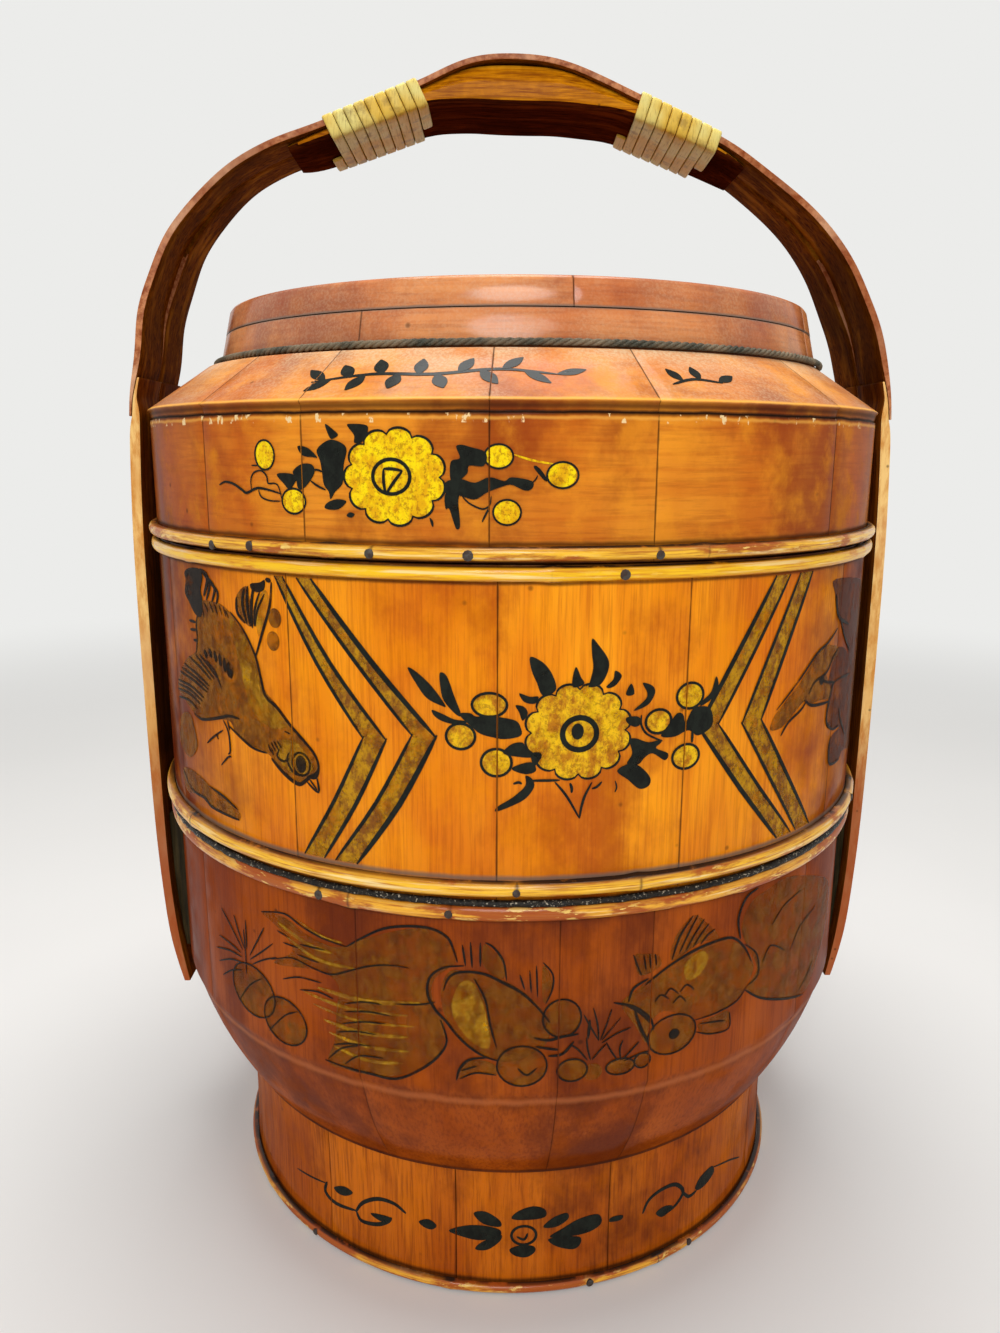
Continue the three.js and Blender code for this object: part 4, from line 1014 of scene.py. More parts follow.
def make_hoop(name, node, body, wall_radius, bottom_z, height, radius, sway, material, knuckles):
    """A strip of split bamboo, flat against the wall and round outside, that swells at its knuckles."""
    inner = wall_radius + SEAT_GAP
    middle_z = bottom_z + height / 2
    turns = [math.pi * step / HOOP_SECTION_STEPS for step in range(1, HOOP_SECTION_STEPS)]
    swell = radius - inner
    arc = [(inner + swell * math.sin(turn) ** HOOP_FLATNESS, middle_z - height / 2 * math.cos(turn))
           for turn in turns]
    piece = turned(name, [(inner, bottom_z), *arc, (inner, bottom_z + height)], step=HOOP_STEP)
    nails = [azimuth for places in NAILS[body].values() for azimuth, z in places
             if bottom_z < z < bottom_z + height]
    for vertex in piece.data.vertices:
        azimuth = azimuth_of(vertex.co)
        outward = Vector((vertex.co.x, vertex.co.y, 0)).normalized()
        thick = (vertex.co.xy.length / MM - inner) / swell
        slow = math.sin(math.radians(azimuth * SLOW_SWAY + wall_radius * 50))
        waver = sway * (slow + math.sin(math.radians(azimuth * FAST_SWAY)))
        pinch = NAIL_PINCH * nearness(azimuth, nails, NAIL_REACH)
        pinch -= KNUCKLE_SWELL * nearness(azimuth, knuckles, KNUCKLE_REACH)
        vertex.co -= outward * thick * (HOOP_DRAW_IN + pinch) * MM
        vertex.co.z = max(0, vertex.co.z + (waver - (vertex.co.z / MM - middle_z) * pinch) * MM)

    def stain_at(point):
        azimuth = azimuth_of(point)
        return max(nearness(azimuth, nails, NAIL_STAIN_REACH) - NAIL_STAIN_LOSS,
                   KNUCKLE_STAIN * nearness(azimuth, knuckles, KNUCKLE_STAIN_REACH))

    set_values(piece, "knuckles", stain_at)
    set_values(piece, "edges", lambda point: min(1, abs(point.z / MM - middle_z) / height * 2) ** 2)
    smooth_up_to(piece, HOOP_SMOOTH)
    dress(piece, body, material, [node])


def make_nail(name, place, facing, size):
    """A hammered head: a disc inset and pushed up twice."""
    deselect_all()
    bpy.ops.mesh.primitive_cylinder_add(vertices=10, radius=size / 2 * MM, depth=NAIL_LENGTH * MM)
    nail = bpy.context.object
    nail.name = nail.data.name = name
    select_corners("DESELECT")
    bpy.ops.mesh.select_mode(type="FACE")
    to_mode("OBJECT")
    for face in nail.data.polygons:
        face.select = face.normal.z > NAIL_TOP_FACING
    to_mode("EDIT")
    for inset, rise in NAIL_STEPS:
        bpy.ops.mesh.inset(thickness=size * inset * MM, depth=size * rise * MM)
    bpy.ops.mesh.select_mode(type="VERT")
    to_mode("OBJECT")
    nail.data.transform(Matrix.Translation(place) @ facing.to_track_quat("Z", "Y").to_matrix().to_4x4())
    return nail


def join_pieces(name, pieces):
    make_active(pieces[0])
    for piece in pieces:
        piece.select_set(True)
    bpy.ops.object.join()
    whole = bpy.context.object
    whole.name = whole.data.name = name
    return whole


def make_hoop_nails():
    for body, rows in NAILS.items():
        heads = []
        for radius, places in rows.items():
            for azimuth, z in places:
                facing = on_ring(1, 0, azimuth).normalized()
                size = NAIL_HEAD * HAND.uniform(*NAIL_SIZES)
                heads.append(make_nail("nail", on_ring(radius - NAIL_SINK, z, azimuth), facing, size))
        nails = join_pieces(f"hoop_nails_{body}", heads)
        smooth_up_to(nails, HOOP_SMOOTH)
        dress(nails, body, IRON)


# Handle
INNER_EDGE_Z = 366  # up to here the inner edges of the laths are rubbed pale too
LATH_REACH = 0.4  # what lies this near the inner edge moves with it
LATH_GAP = 0.12
LATH_EDGE_ROUND = 0.28
LATH_CREASE = 40
CUT_EDGE_FACING = 0.6  # how squarely the cut edges face sideways
BATTEN_ROUND = 0.8
LATHS = [  # finish, finish of the cut edges, solids
    (BOW_BAMBOO, BOW_EDGE, ["bow_lath_front", "bow_lath_rear"]),
    (LATH_BAMBOO, LATH_EDGE,
     ["upright_front_left", "upright_rear_left", "upright_front_right", "upright_rear_right"]),
]
GRIP_RISE = 0.25  # of the grip's top over the solid's
GRIP_ROUND = 0.4
GRIP_CREASE = 24
GRIP_TOP_FACING, GRIP_UNDER_FACING, GRIP_END_FACING = 0.85, -0.1, 0.8
CANE_CREASE = 50
CANE_HOLD = 0.8
CANE_SIDE_FACING = 0.75
CANE_WIDENING = 0.2
CANE_SLOPES = {"left": 19.5, "right": -24}


def copy_of(node, name):
    """A welded copy of a solid, its triangles joined back into four-sided faces."""
    piece = add_object(name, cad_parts[node].data.copy())
    piece.data.name = name
    make_active(piece)
    weld_all()
    bpy.ops.mesh.tris_convert_to_quads(face_threshold=math.radians(30), shape_threshold=math.radians(60))
    face_outwards()
    return piece


def subdivide(piece, crease_angle, hold=1):
    """Smooths the long curves of a piece and holds its sharp edges."""
    make_active(piece)
    to_mode("EDIT")
    bpy.ops.mesh.select_mode(type="EDGE")
    bpy.ops.mesh.select_all(action="DESELECT")
    bpy.ops.mesh.edges_select_sharp(sharpness=math.radians(crease_angle))
    bpy.ops.transform.edge_crease(value=hold)
    bpy.ops.mesh.select_mode(type="VERT")
    apply_modifier(piece, "SUBSURF", levels=2, render_levels=2)


def mark_cut_edges(piece, edge_material):
    """Gives the narrow faces of a lath, which show the cut bamboo, their own finish."""
    piece.data.materials.append(edge_material)
    for face in piece.data.polygons:
        outward = face.normal.y * face.center.y > 0
        if abs(face.normal.y) > CUT_EDGE_FACING and (outward or face.center.z < INNER_EDGE_Z * MM):
            face.material_index = 1


def close_up(lath):
    """Brings the inner edge of a lath nearly to the middle, where it meets the one beside it."""
    nearest = min(abs(vertex.co.y) for vertex in lath.data.vertices)
    for vertex in lath.data.vertices:
        if abs(vertex.co.y) < nearest + LATH_REACH * MM:
            vertex.co.y = math.copysign(LATH_GAP / 2 * MM, vertex.co.y)


def make_laths():
    for material, edge_material, nodes in LATHS:
        for node in nodes:
            piece = copy_of(node, f"bent_{node}")
            close_up(piece)
            subdivide(piece, LATH_CREASE)
            soften(piece, LATH_EDGE_ROUND, corner=LATH_CREASE)
            dress(piece, "base", material, [node])
            mark_cut_edges(piece, edge_material)
    for side in ("left", "right"):
        batten = copy_of(f"side_batten_{side}", f"wedge_{side}")
        soften(batten, BATTEN_ROUND)
        dress(batten, "base", BATTEN_WOOD, [f"side_batten_{side}"])


def widen(cane, along):
    """Spreads the wound strip along the grip, so that its turns lie close together."""
    moves = {}
    for face in cane.data.polygons:
        facing = face.normal.dot(along)
        if abs(facing) > CANE_SIDE_FACING:
            moves.update({corner: math.copysign(CANE_WIDENING * MM, facing) for corner in face.vertices})
    for corner, move in moves.items():
        cane.data.vertices[corner].co += along * move


def make_grip():
    grip = copy_of("grip_block", "shaped_grip")
    tops = [face.vertices for face in grip.data.polygons if face.normal.z > GRIP_TOP_FACING]
    for corner in {corner for face_corners in tops for corner in face_corners}:
        grip.data.vertices[corner].co.z += GRIP_RISE * MM
    subdivide(grip, GRIP_CREASE)
    soften(grip, GRIP_ROUND, segments=3, corner=GRIP_CREASE)
    dress(grip, "base", GRIP_WOOD, ["grip_block"])
    # The faces that turn down get the darker copy as painted shade, and the ends take the same dark finish
    grip.data.materials.append(GRIP_PAINTED_SHADE)
    for face in grip.data.polygons:
        if face.normal.z < GRIP_UNDER_FACING or abs(face.normal.x) > GRIP_END_FACING:
            face.material_index = 1
    for side, slope in CANE_SLOPES.items():
        cane = copy_of(f"rattan_wrap_{side}", f"wound_cane_{side}")
        slope = math.radians(slope)
        widen(cane, Vector((math.cos(slope), 0, math.sin(slope))))
        subdivide(cane, CANE_CREASE, CANE_HOLD)
        bpy.ops.object.shade_smooth()
        dress(cane, "base", RATTAN, [f"rattan_wrap_{side}"])


# Cord round the collar
CORD_STRANDS = 3
STRAND_RADIUS = 0.6
CORD_TWIST_RADIUS = 0.55
CORD_DRAW_IN = 0.7  # how much closer the cord lies to the collar than the solid ring
CORD_TWISTS = 86
TWIST_STEPS = 14  # in each turn of the twist


def make_cord():
    """Strands twisted round one another, lying in the corner between shoulder and collar."""
    strands = []
    for strand in range(CORD_STRANDS):
        path = bpy.data.curves.new(f"strand_{strand}", "CURVE")
        path.dimensions = "3D"
        path.bevel_depth = STRAND_RADIUS * MM
        path.bevel_resolution = 1
        spline = path.splines.new("POLY")
        count = CORD_TWISTS * TWIST_STEPS
        spline.points.add(count - 1)
        spline.use_cyclic_u = True
        for step, point in enumerate(spline.points):
            turn = 2 * math.pi * (step / TWIST_STEPS + strand / CORD_STRANDS)
            radius = CORD_RING_RADIUS - CORD_DRAW_IN + CORD_TWIST_RADIUS * math.cos(turn)
            height = CORD_Z - CORD_DRAW_IN / 2 + CORD_TWIST_RADIUS * math.sin(turn)
            place = on_ring(radius, height, 360 * step / count)
            point.co = (place.x + COLLAR_LEAN * MM, place.y, place.z, 1)
        make_active(add_object(f"strand_{strand}", path))
        bpy.ops.object.convert(target="MESH")
        strands.append(bpy.context.object)
    cord = join_pieces("twisted_cord", strands)
    bpy.ops.object.shade_smooth()
    dress(cord, "lid", CORD_FIBRE, ["collar_cord"])


# Dirt in the joint under the middle tier
CRUST_PROFILE = [
    (136.7, 161.1), (139.5, 161.1), (139.5, 161.9), (138.9, 162.7), (138.3, 162.8), (138.1, 162),
    (136.7, 161.8),
]
CRUST_OUTSIDE = 138  # from this radius on the dirt is lumpy
CRUST_LUMPS = 0.22


def make_crust():
    """Black dirt that has gathered on the base hoop."""
    crust = turned("joint_dirt", CRUST_PROFILE, step=HOOP_STEP)
    lumps = random.Random(11)
    for vertex in crust.data.vertices:
        if vertex.co.xy.length > CRUST_OUTSIDE * MM:
            vertex.co.xy *= 1 + lumps.uniform(-CRUST_LUMPS, CRUST_LUMPS) / CRUST_OUTSIDE
            vertex.co.z += max(0, lumps.uniform(-CRUST_LUMPS, CRUST_LUMPS)) * MM
    make_active(crust)
    bpy.ops.object.shade_smooth()
    dress(crust, "base", CRUST)


# Painted ornament. Places on a wall are (distance round it from the front, height), in millimetres
BRUSH_STEPS = 4  # between two places of a stroke
OVAL_STEPS = 24
PETAL_STEPS = 8
PETAL_DIP_SHARE = 0.13  # how far the edge of a flower dips between two petals
PAINT_THICKNESS = 0.1
STROKE_LIFT = 0.004  # each stroke lies a little over the one before
STROKES_IN_STEP = 12
LINE_TIP, PETAL_TIP = 0.3, 0.12  # the width of a stroke at its ends, as a share of its full width
CUT_STEP = 4  # how often the paint is cut across, so that it bends round the wall
SEAM_BREAK = 0.22  # half the width of the break in the paint at a seam


def pairs(flat):
    return [Vector(pair) for pair in zip(flat[::2], flat[1::2])]


def smooth_run(points, closed=False):
    """A run through the places, rounded as a brush would draw it."""
    count = len(points)
    run = []
    for i in range(count if closed else count - 1):
        near = [i + k for k in (-1, 0, 1, 2)]
        a, b, c, d = (points[k % count if closed else min(max(k, 0), count - 1)] for k in near)
        bend = a * 2 - b * 5 + c * 4 - d
        swing = b * 3 - c * 3 + d - a
        for t in (step / BRUSH_STEPS for step in range(BRUSH_STEPS)):
            run.append((b * 2 + (c - a) * t + bend * t ** 2 + swing * t ** 3) / 2)
    return run if closed else run + points[-1:]


def ribbon(run, half_widths):
    left, right = [], []
    for i, (place, half) in enumerate(zip(run, half_widths)):
        ahead = run[min(i + 1, len(run) - 1)] - run[max(i - 1, 0)]
        side = Vector((-ahead.y, ahead.x)).normalized() * half
        left.append(place + side)
        right.append(place - side)
    return [left + right[::-1]]


def line(width, *flat):
    """A brush line that thins at its ends."""
    run = smooth_run(pairs(flat))
    shares = [i / (len(run) - 1) for i in range(len(run))]
    swells = [LINE_TIP + (1 - LINE_TIP) * math.sin(math.pi * share) ** 0.5 for share in shares]
    return ribbon(run, [width / 2 * swell for swell in swells])


def petal(width, *flat):
    """One press of the brush, round in the middle and pointed at its ends."""
    start, end = pairs(flat)
    shares = [i / PETAL_STEPS for i in range(PETAL_STEPS + 1)]
    run = [start.lerp(end, share) for share in shares]
    swells = [PETAL_TIP + (1 - PETAL_TIP) * math.sin(math.pi * share) for share in shares]
    return ribbon(run, [width / 2 * swell for swell in swells])


def leaf(*flat):
    return [smooth_run(pairs(flat), closed=True)]


def disc(x, z, wide, high):
    turns = [2 * math.pi * i / OVAL_STEPS for i in range(OVAL_STEPS)]
    return [[Vector((x + wide * math.cos(turn), z + high * math.sin(turn))) for turn in turns]]


def ring(x, z, wide, high, thickness):
    half = thickness / 2
    return disc(x, z, wide + half, high + half) + disc(x, z, wide - half, high - half)


def flower(x, z, wide, high, petals):
    count = petals * PETAL_STEPS
    outline = []
    for i in range(count):
        turn = 2 * math.pi * i / count
        reach = 1 - PETAL_DIP_SHARE * (1 - abs(math.sin(petals * turn / 2)) ** 0.6)
        outline.append(Vector((x + wide * reach * math.cos(turn), z + high * reach * math.sin(turn))))
    return [outline]


def flower_edge(x, z, wide, high, petals, thickness):
    half = thickness / 2
    return flower(x, z, wide + half, high + half, petals) + flower(x, z, wide - half, high - half, petals)


def band(*flat):
    """A bent band with sharp corners, given as a closed outline."""
    return [pairs(flat)]


LID_GOLD_STROKES = [
    flower(-37.1, 285.8, 14.9, 13.3, 11), disc(-79.5, 291.5, 3.5, 4.1), disc(-69.2, 278.6, 4, 3.2),
    disc(-8, 291.5, 3.7, 3), disc(9.2, 286.6, 3.9, 3.2), disc(-5.7, 276.6, 3.6, 3.2),
    line(0.6, -4, 292, 1, 290.5, 7, 289.5),
]
LID_BLACK_STROKES = [
    leaf(-57.5, 300, -55, 298.5, -53.5, 297, -55.5, 296, -56.5, 297),
    leaf(-50.5, 299.5, -49.5, 300, -44.5, 299.5, -45, 296.5, -46.5, 295, -48.5, 295, -48.5, 297),
    leaf(-60.5, 293, -57, 295.5, -54, 295.5, -51, 293.5, -52, 289, -52.5, 284, -55, 281.5, -56.5, 279.5, -57,
        281.5, -58.5, 283.5, -59, 287, -59.5, 290),
    leaf(-67, 294, -63.5, 293.5, -60.5, 291, -62, 291, -65.5, 291.5),
    leaf(-69, 287, -66, 289, -62.5, 289, -61.5, 287, -63.5, 284, -66, 282, -67.5, 282.5, -68, 285),
    leaf(-75, 286, -72, 286.5, -68.5, 286, -68, 284.5, -70.5, 282, -72.5, 283.5),
    leaf(-58.5, 277, -57.5, 278.5, -54.5, 279.5, -51.5, 279, -53.5, 277, -56, 276.5),
    leaf(-51.5, 275, -50.5, 276, -49, 275.5, -50, 274.5),
    leaf(-19.5, 294, -18, 294.5, -16, 294, -11.5, 292.5, -12, 289, -16, 289, -16.5, 287, -19, 285, -21, 285,
        -21, 290, -18.5, 291),
    leaf(-22.5, 284.5, -18.5, 285.5, -14.5, 284.5, -10.5, 286, -6.5, 285, -4.5, 286, 1, 285, 1, 283, -1,
        282.5, -4.5, 284, -7, 283.5, -11, 282, -14.5, 280, -18.5, 281, -22, 281),
    leaf(-22.5, 281.5, -19, 281.5, -19, 279, -18.5, 273, -19.5, 272, -20.5, 274.5, -21.5, 277.5, -22.5,
        277.5),
    leaf(-27, 275, -26, 274, -26, 272.5, -26.5, 273), flower_edge(-37.1, 285.8, 14.9, 13.3, 11, 0.7),
    ring(-37.8, 285.9, 5.4, 4.7, 1.0), line(0.9, -40, 288, -37.5, 288, -34.5, 287.5),
    line(0.9, -34.5, 287.5, -37, 284.5, -39.5, 281), line(0.9, -39.5, 281, -40, 284.5, -40, 288),
    line(0.6, -62.5, 287.5, -60.5, 287.5, -59, 287), line(0.6, -63, 284.5, -60.5, 283, -58, 282),
    line(0.8, -100.5, 282.5, -97.5, 283.5, -93.5, 283, -90, 281.5, -87.5, 280.5, -83, 282, -78, 281.5, -73.5,
        280.5),
    line(0.5, -85.5, 281.5, -85.5, 284.5, -84, 286.5, -81, 287, -79, 285.5, -78.5, 283.5, -76, 283.5, -74.5,
        282.5, -73.5, 279),
    line(0.5, -82.5, 281.5, -81.5, 279.5, -78, 278.5, -74, 278.5),
    line(0.5, -18, 281, -16, 279, -12.5, 277.5, -10.5, 278.5, -10, 281),
    line(0.6, -10.5, 278, -11.5, 276, -12.5, 274), line(1.2, 1.5, 289, 3, 287.5, 5, 285),
    line(0.4, 1, 284.5, 2, 285.5, 2.5, 286.5), line(0.4, -85, 288.5, -83.5, 288.5, -82, 288.5),
    ring(-79.5, 291.5, 3.8, 4.2, 0.55), ring(-69.2, 278.6, 4.2, 3.6, 0.55), ring(-8, 291.5, 3.9, 3.2, 0.55),
    ring(9.3, 286.6, 4.3, 3.5, 0.55), ring(-5.7, 276.6, 3.8, 3.4, 0.55),
]
MIDDLE_FLOWER_GOLD = [
    flower(15.3, 214.3, 15.8, 14.5, 12), disc(-10.4, 222.5, 4.8, 3.3), disc(-18.7, 213, 3.9, 3.6),
    disc(-8.4, 205.4, 4.2, 3.9), disc(39.5, 216.1, 3.9, 3.4), disc(49.7, 223, 4.4, 3.6),
    disc(49.1, 204.4, 4.4, 3.6),
]
MIDDLE_FLOWER_BLACK = [
    leaf(-34, 232.5, -31.5, 231.5, -27, 227.5, -23, 222, -24.5, 222, -28.5, 224, -31.5, 228),
    leaf(-24.5, 231.5, -22.5, 230.5, -20.5, 225, -18.5, 219.5, -20, 219.5, -23.5, 223.5, -24.5, 228),
    leaf(-27, 220.5, -24, 219.5, -20.5, 218, -16.5, 217.5, -19, 216.5, -23, 217, -26, 218.5),
    leaf(-19, 219.5, -16, 220, -14, 219, -10, 219.5, -7.5, 219, -3, 218, -1.5, 216, -1.5, 213.5, -6, 212.5,
        -9.5, 213, -13, 214, -15.5, 216),
    leaf(1, 236.5, 4.5, 235, 7, 232, 8.5, 228, 7.5, 226, 4.5, 225.5, 3, 229, 1.5, 232.5),
    leaf(18.5, 241.5, 20.5, 239.5, 23.5, 235, 23, 231, 21, 228, 18, 227.5, 18, 228.5, 19, 233, 18.5, 237.5),
    leaf(14, 233.5, 15.5, 230.5, 16.5, 228.5, 13.5, 227.5, 13, 229.5),
    leaf(25.5, 232, 27.5, 230.5, 26, 228, 24, 227, 23, 227.5, 25, 229.5),
    leaf(-2, 226, 1, 225, 3.5, 225, 2.5, 223, -0.5, 223.5),
    leaf(-3, 222.5, -0.5, 222, 0.5, 220, -1, 218, -2, 220.5),
    leaf(30.5, 228, 31.5, 225, 29.5, 224.5, 29, 225.5),
    leaf(34, 228, 37, 227, 38, 225, 36.5, 222, 34, 220.5, 31.5, 220, 35, 223, 35.5, 225),
    leaf(29.5, 218, 33, 218, 34, 216, 32, 215, 29.5, 216.5),
    leaf(30.5, 211, 32.5, 211.5, 36.5, 210, 40.5, 210.5, 40.5, 209.5, 39, 208, 43, 206, 42, 204, 38, 206.5,
        35.5, 205.5, 33.5, 203.5, 30, 204, 31.5, 207),
    leaf(27, 202, 31, 204, 34.5, 202.5, 37.5, 199, 37, 196.5, 34, 196, 30.5, 199),
    leaf(-6.5, 208.5, -4, 211, -1, 211.5, 0, 210, 2, 208.5, 1.5, 207, -4, 207.5),
    leaf(-4, 203.5, -1.5, 205, 2, 205.5, 3, 203, 0, 202),
    leaf(0, 201.5, 2, 200.5, 2.5, 198, 0, 194.5, -4.5, 192, -8.5, 190.5, -8, 192, -3.5, 195, 0, 198.5),
    leaf(1.5, 208, 4, 208.5, 4.5, 207, 2.5, 204.5),
    leaf(40.5, 211.5, 42.5, 214.5, 45.5, 218, 47.5, 217.5, 48.5, 215, 51, 219, 56, 219, 58, 216, 57.5, 212.5,
        53, 210.5, 49.5, 212.5, 45, 211),
    leaf(58.5, 228, 59.5, 225, 57.5, 221.5, 53.5, 219.5, 54, 221, 57, 223.5),
    flower_edge(15.3, 214.3, 15.8, 14.5, 12, 0.7), ring(15.5, 213.8, 5, 4.8, 1.6),
    disc(14.9, 214.5, 1.8, 2.4), line(0.8, 8.5, 199.5, 11, 196.5, 13, 193.5, 16, 188),
    line(0.8, 16, 188, 16.5, 191.5, 17.5, 195, 19.5, 199), line(0.8, -3.5, 199, -2, 199.5, -1, 199),
    line(0.8, 1.5, 200, 5.5, 200, 10, 200), line(0.9, 13, 199, 13.5, 197.5, 13.5, 196),
    line(0.7, 19.5, 197, 21, 197.5, 22.5, 199), line(0.5, 26.5, 199, 27, 197, 26.5, 195.5),
    line(0.7, 34, 218.5, 34, 215.5, 36, 212.5, 41, 210), line(0.9, 51, 212.5, 51, 210.5, 51, 208.5),
    ring(-10.4, 222.5, 5, 3.5, 0.8), ring(-18.7, 213, 4.2, 3.8, 0.8), ring(-8.4, 205.4, 4.4, 4.1, 0.8),
    ring(39.5, 216.1, 4.1, 3.6, 0.8), ring(49.7, 223, 4.5, 3.9, 0.8), ring(49.1, 204.4, 4.6, 3.8, 0.8),
]
BIRD_BROWN = [
    leaf(-117.1, 244.8, -105.5, 245.8, -99.1, 243.6, -92.5, 238.7, -87.5, 231.1, -84.6, 221.4, -78.2, 216,
        -70.7, 208.3, -64.9, 202.8, -64.4, 198.4, -71.4, 193.1, -79.4, 196.6, -84.3, 200.6, -92.6, 202, -99.5,
        204.7, -103.7, 207.9, -121.2, 205, -135.2, 208.4, -142.8, 212.5, -132.3, 223, -121.7, 228.2, -120.5,
        236.4),
    leaf(-144, 181.2, -129.7, 183.8, -118.3, 181.8, -100.9, 177.9, -100.7, 174.5, -108.3, 174.6, -119.3,
        174.7, -127.3, 176.4, -140.4, 174),
    leaf(-141.7, 201.1, -131.8, 204.5, -127.2, 198.8, -126.7, 193.2, -135.1, 187.8, -145.7, 191.3),
    leaf(-117.1, 228.9, -112.1, 231.1, -106.1, 229.6, -101.1, 228, -98.7, 225.1, -100.1, 222, -103.2, 223.8,
        -107.5, 227.1, -113.2, 227.5),
    leaf(-95.1, 249, -90.5, 252.5, -88.9, 249, -87.4, 244.8, -88.6, 240.4, -91.4, 241, -94, 244.1),
    disc(-78.5, 243.8, 2.6, 3), disc(-79.6, 236.7, 2.6, 3),
    leaf(82.6, 207.9, 83.7, 211.7, 88.3, 215.5, 96.9, 221.3, 104.7, 227.4, 108.4, 230.1, 114.3, 230.9, 123.7,
        228.8, 122.4, 225.9, 114.3, 222.5, 116.8, 218, 119.2, 214.8, 117.9, 212.2, 111.3, 212.8, 103.6, 212.9,
        100.2, 214.5, 95.7, 212.3, 90.5, 209.2, 87.6, 207.7),
]
BIRD_DARK = [
    leaf(116.3, 252.6, 116.8, 247.6, 118.7, 242.7, 123.6, 237.4, 128, 232.6, 134.9, 226.6, 139.8, 221.5,
        149.6, 214.5, 163.6, 205.4, 163, 208.8, 163.2, 219.4, 163.5, 231.4, 163.8, 241.8, 149.5, 249),
    leaf(123.7, 228.5, 116.8, 218, 119.8, 211.9, 117, 208.2, 118.1, 202.4, 124.3, 199.9, 132.7, 198.7, 123.9,
        197.5, 121.9, 193, 124.2, 187.4, 135.2, 186.3, 140.8, 188.1, 163.4, 184.3, 163.4, 196.2, 163.6, 205.4,
        149.6, 214.5, 137.2, 224.1),
]
BIRD_GILT = [
    leaf(-84.4, 250, -81.7, 252, -80.4, 249.1, -82.2, 244.7, -85.3, 237.6, -86.4, 240.6, -86.5, 245.5),
    leaf(-99.2, 242.3, -92.6, 237.4, -88.4, 231, -84.7, 220.1, -78.3, 214.7, -75.2, 210.8, -82, 209.1, -89.8,
        213, -93.9, 222.6, -97, 233.1),
    leaf(-78.8, 205.7, -72.3, 206.1, -67.9, 202.3, -65.8, 198.8, -71.3, 195.4, -77.6, 197.6, -79.9, 201.7),
]
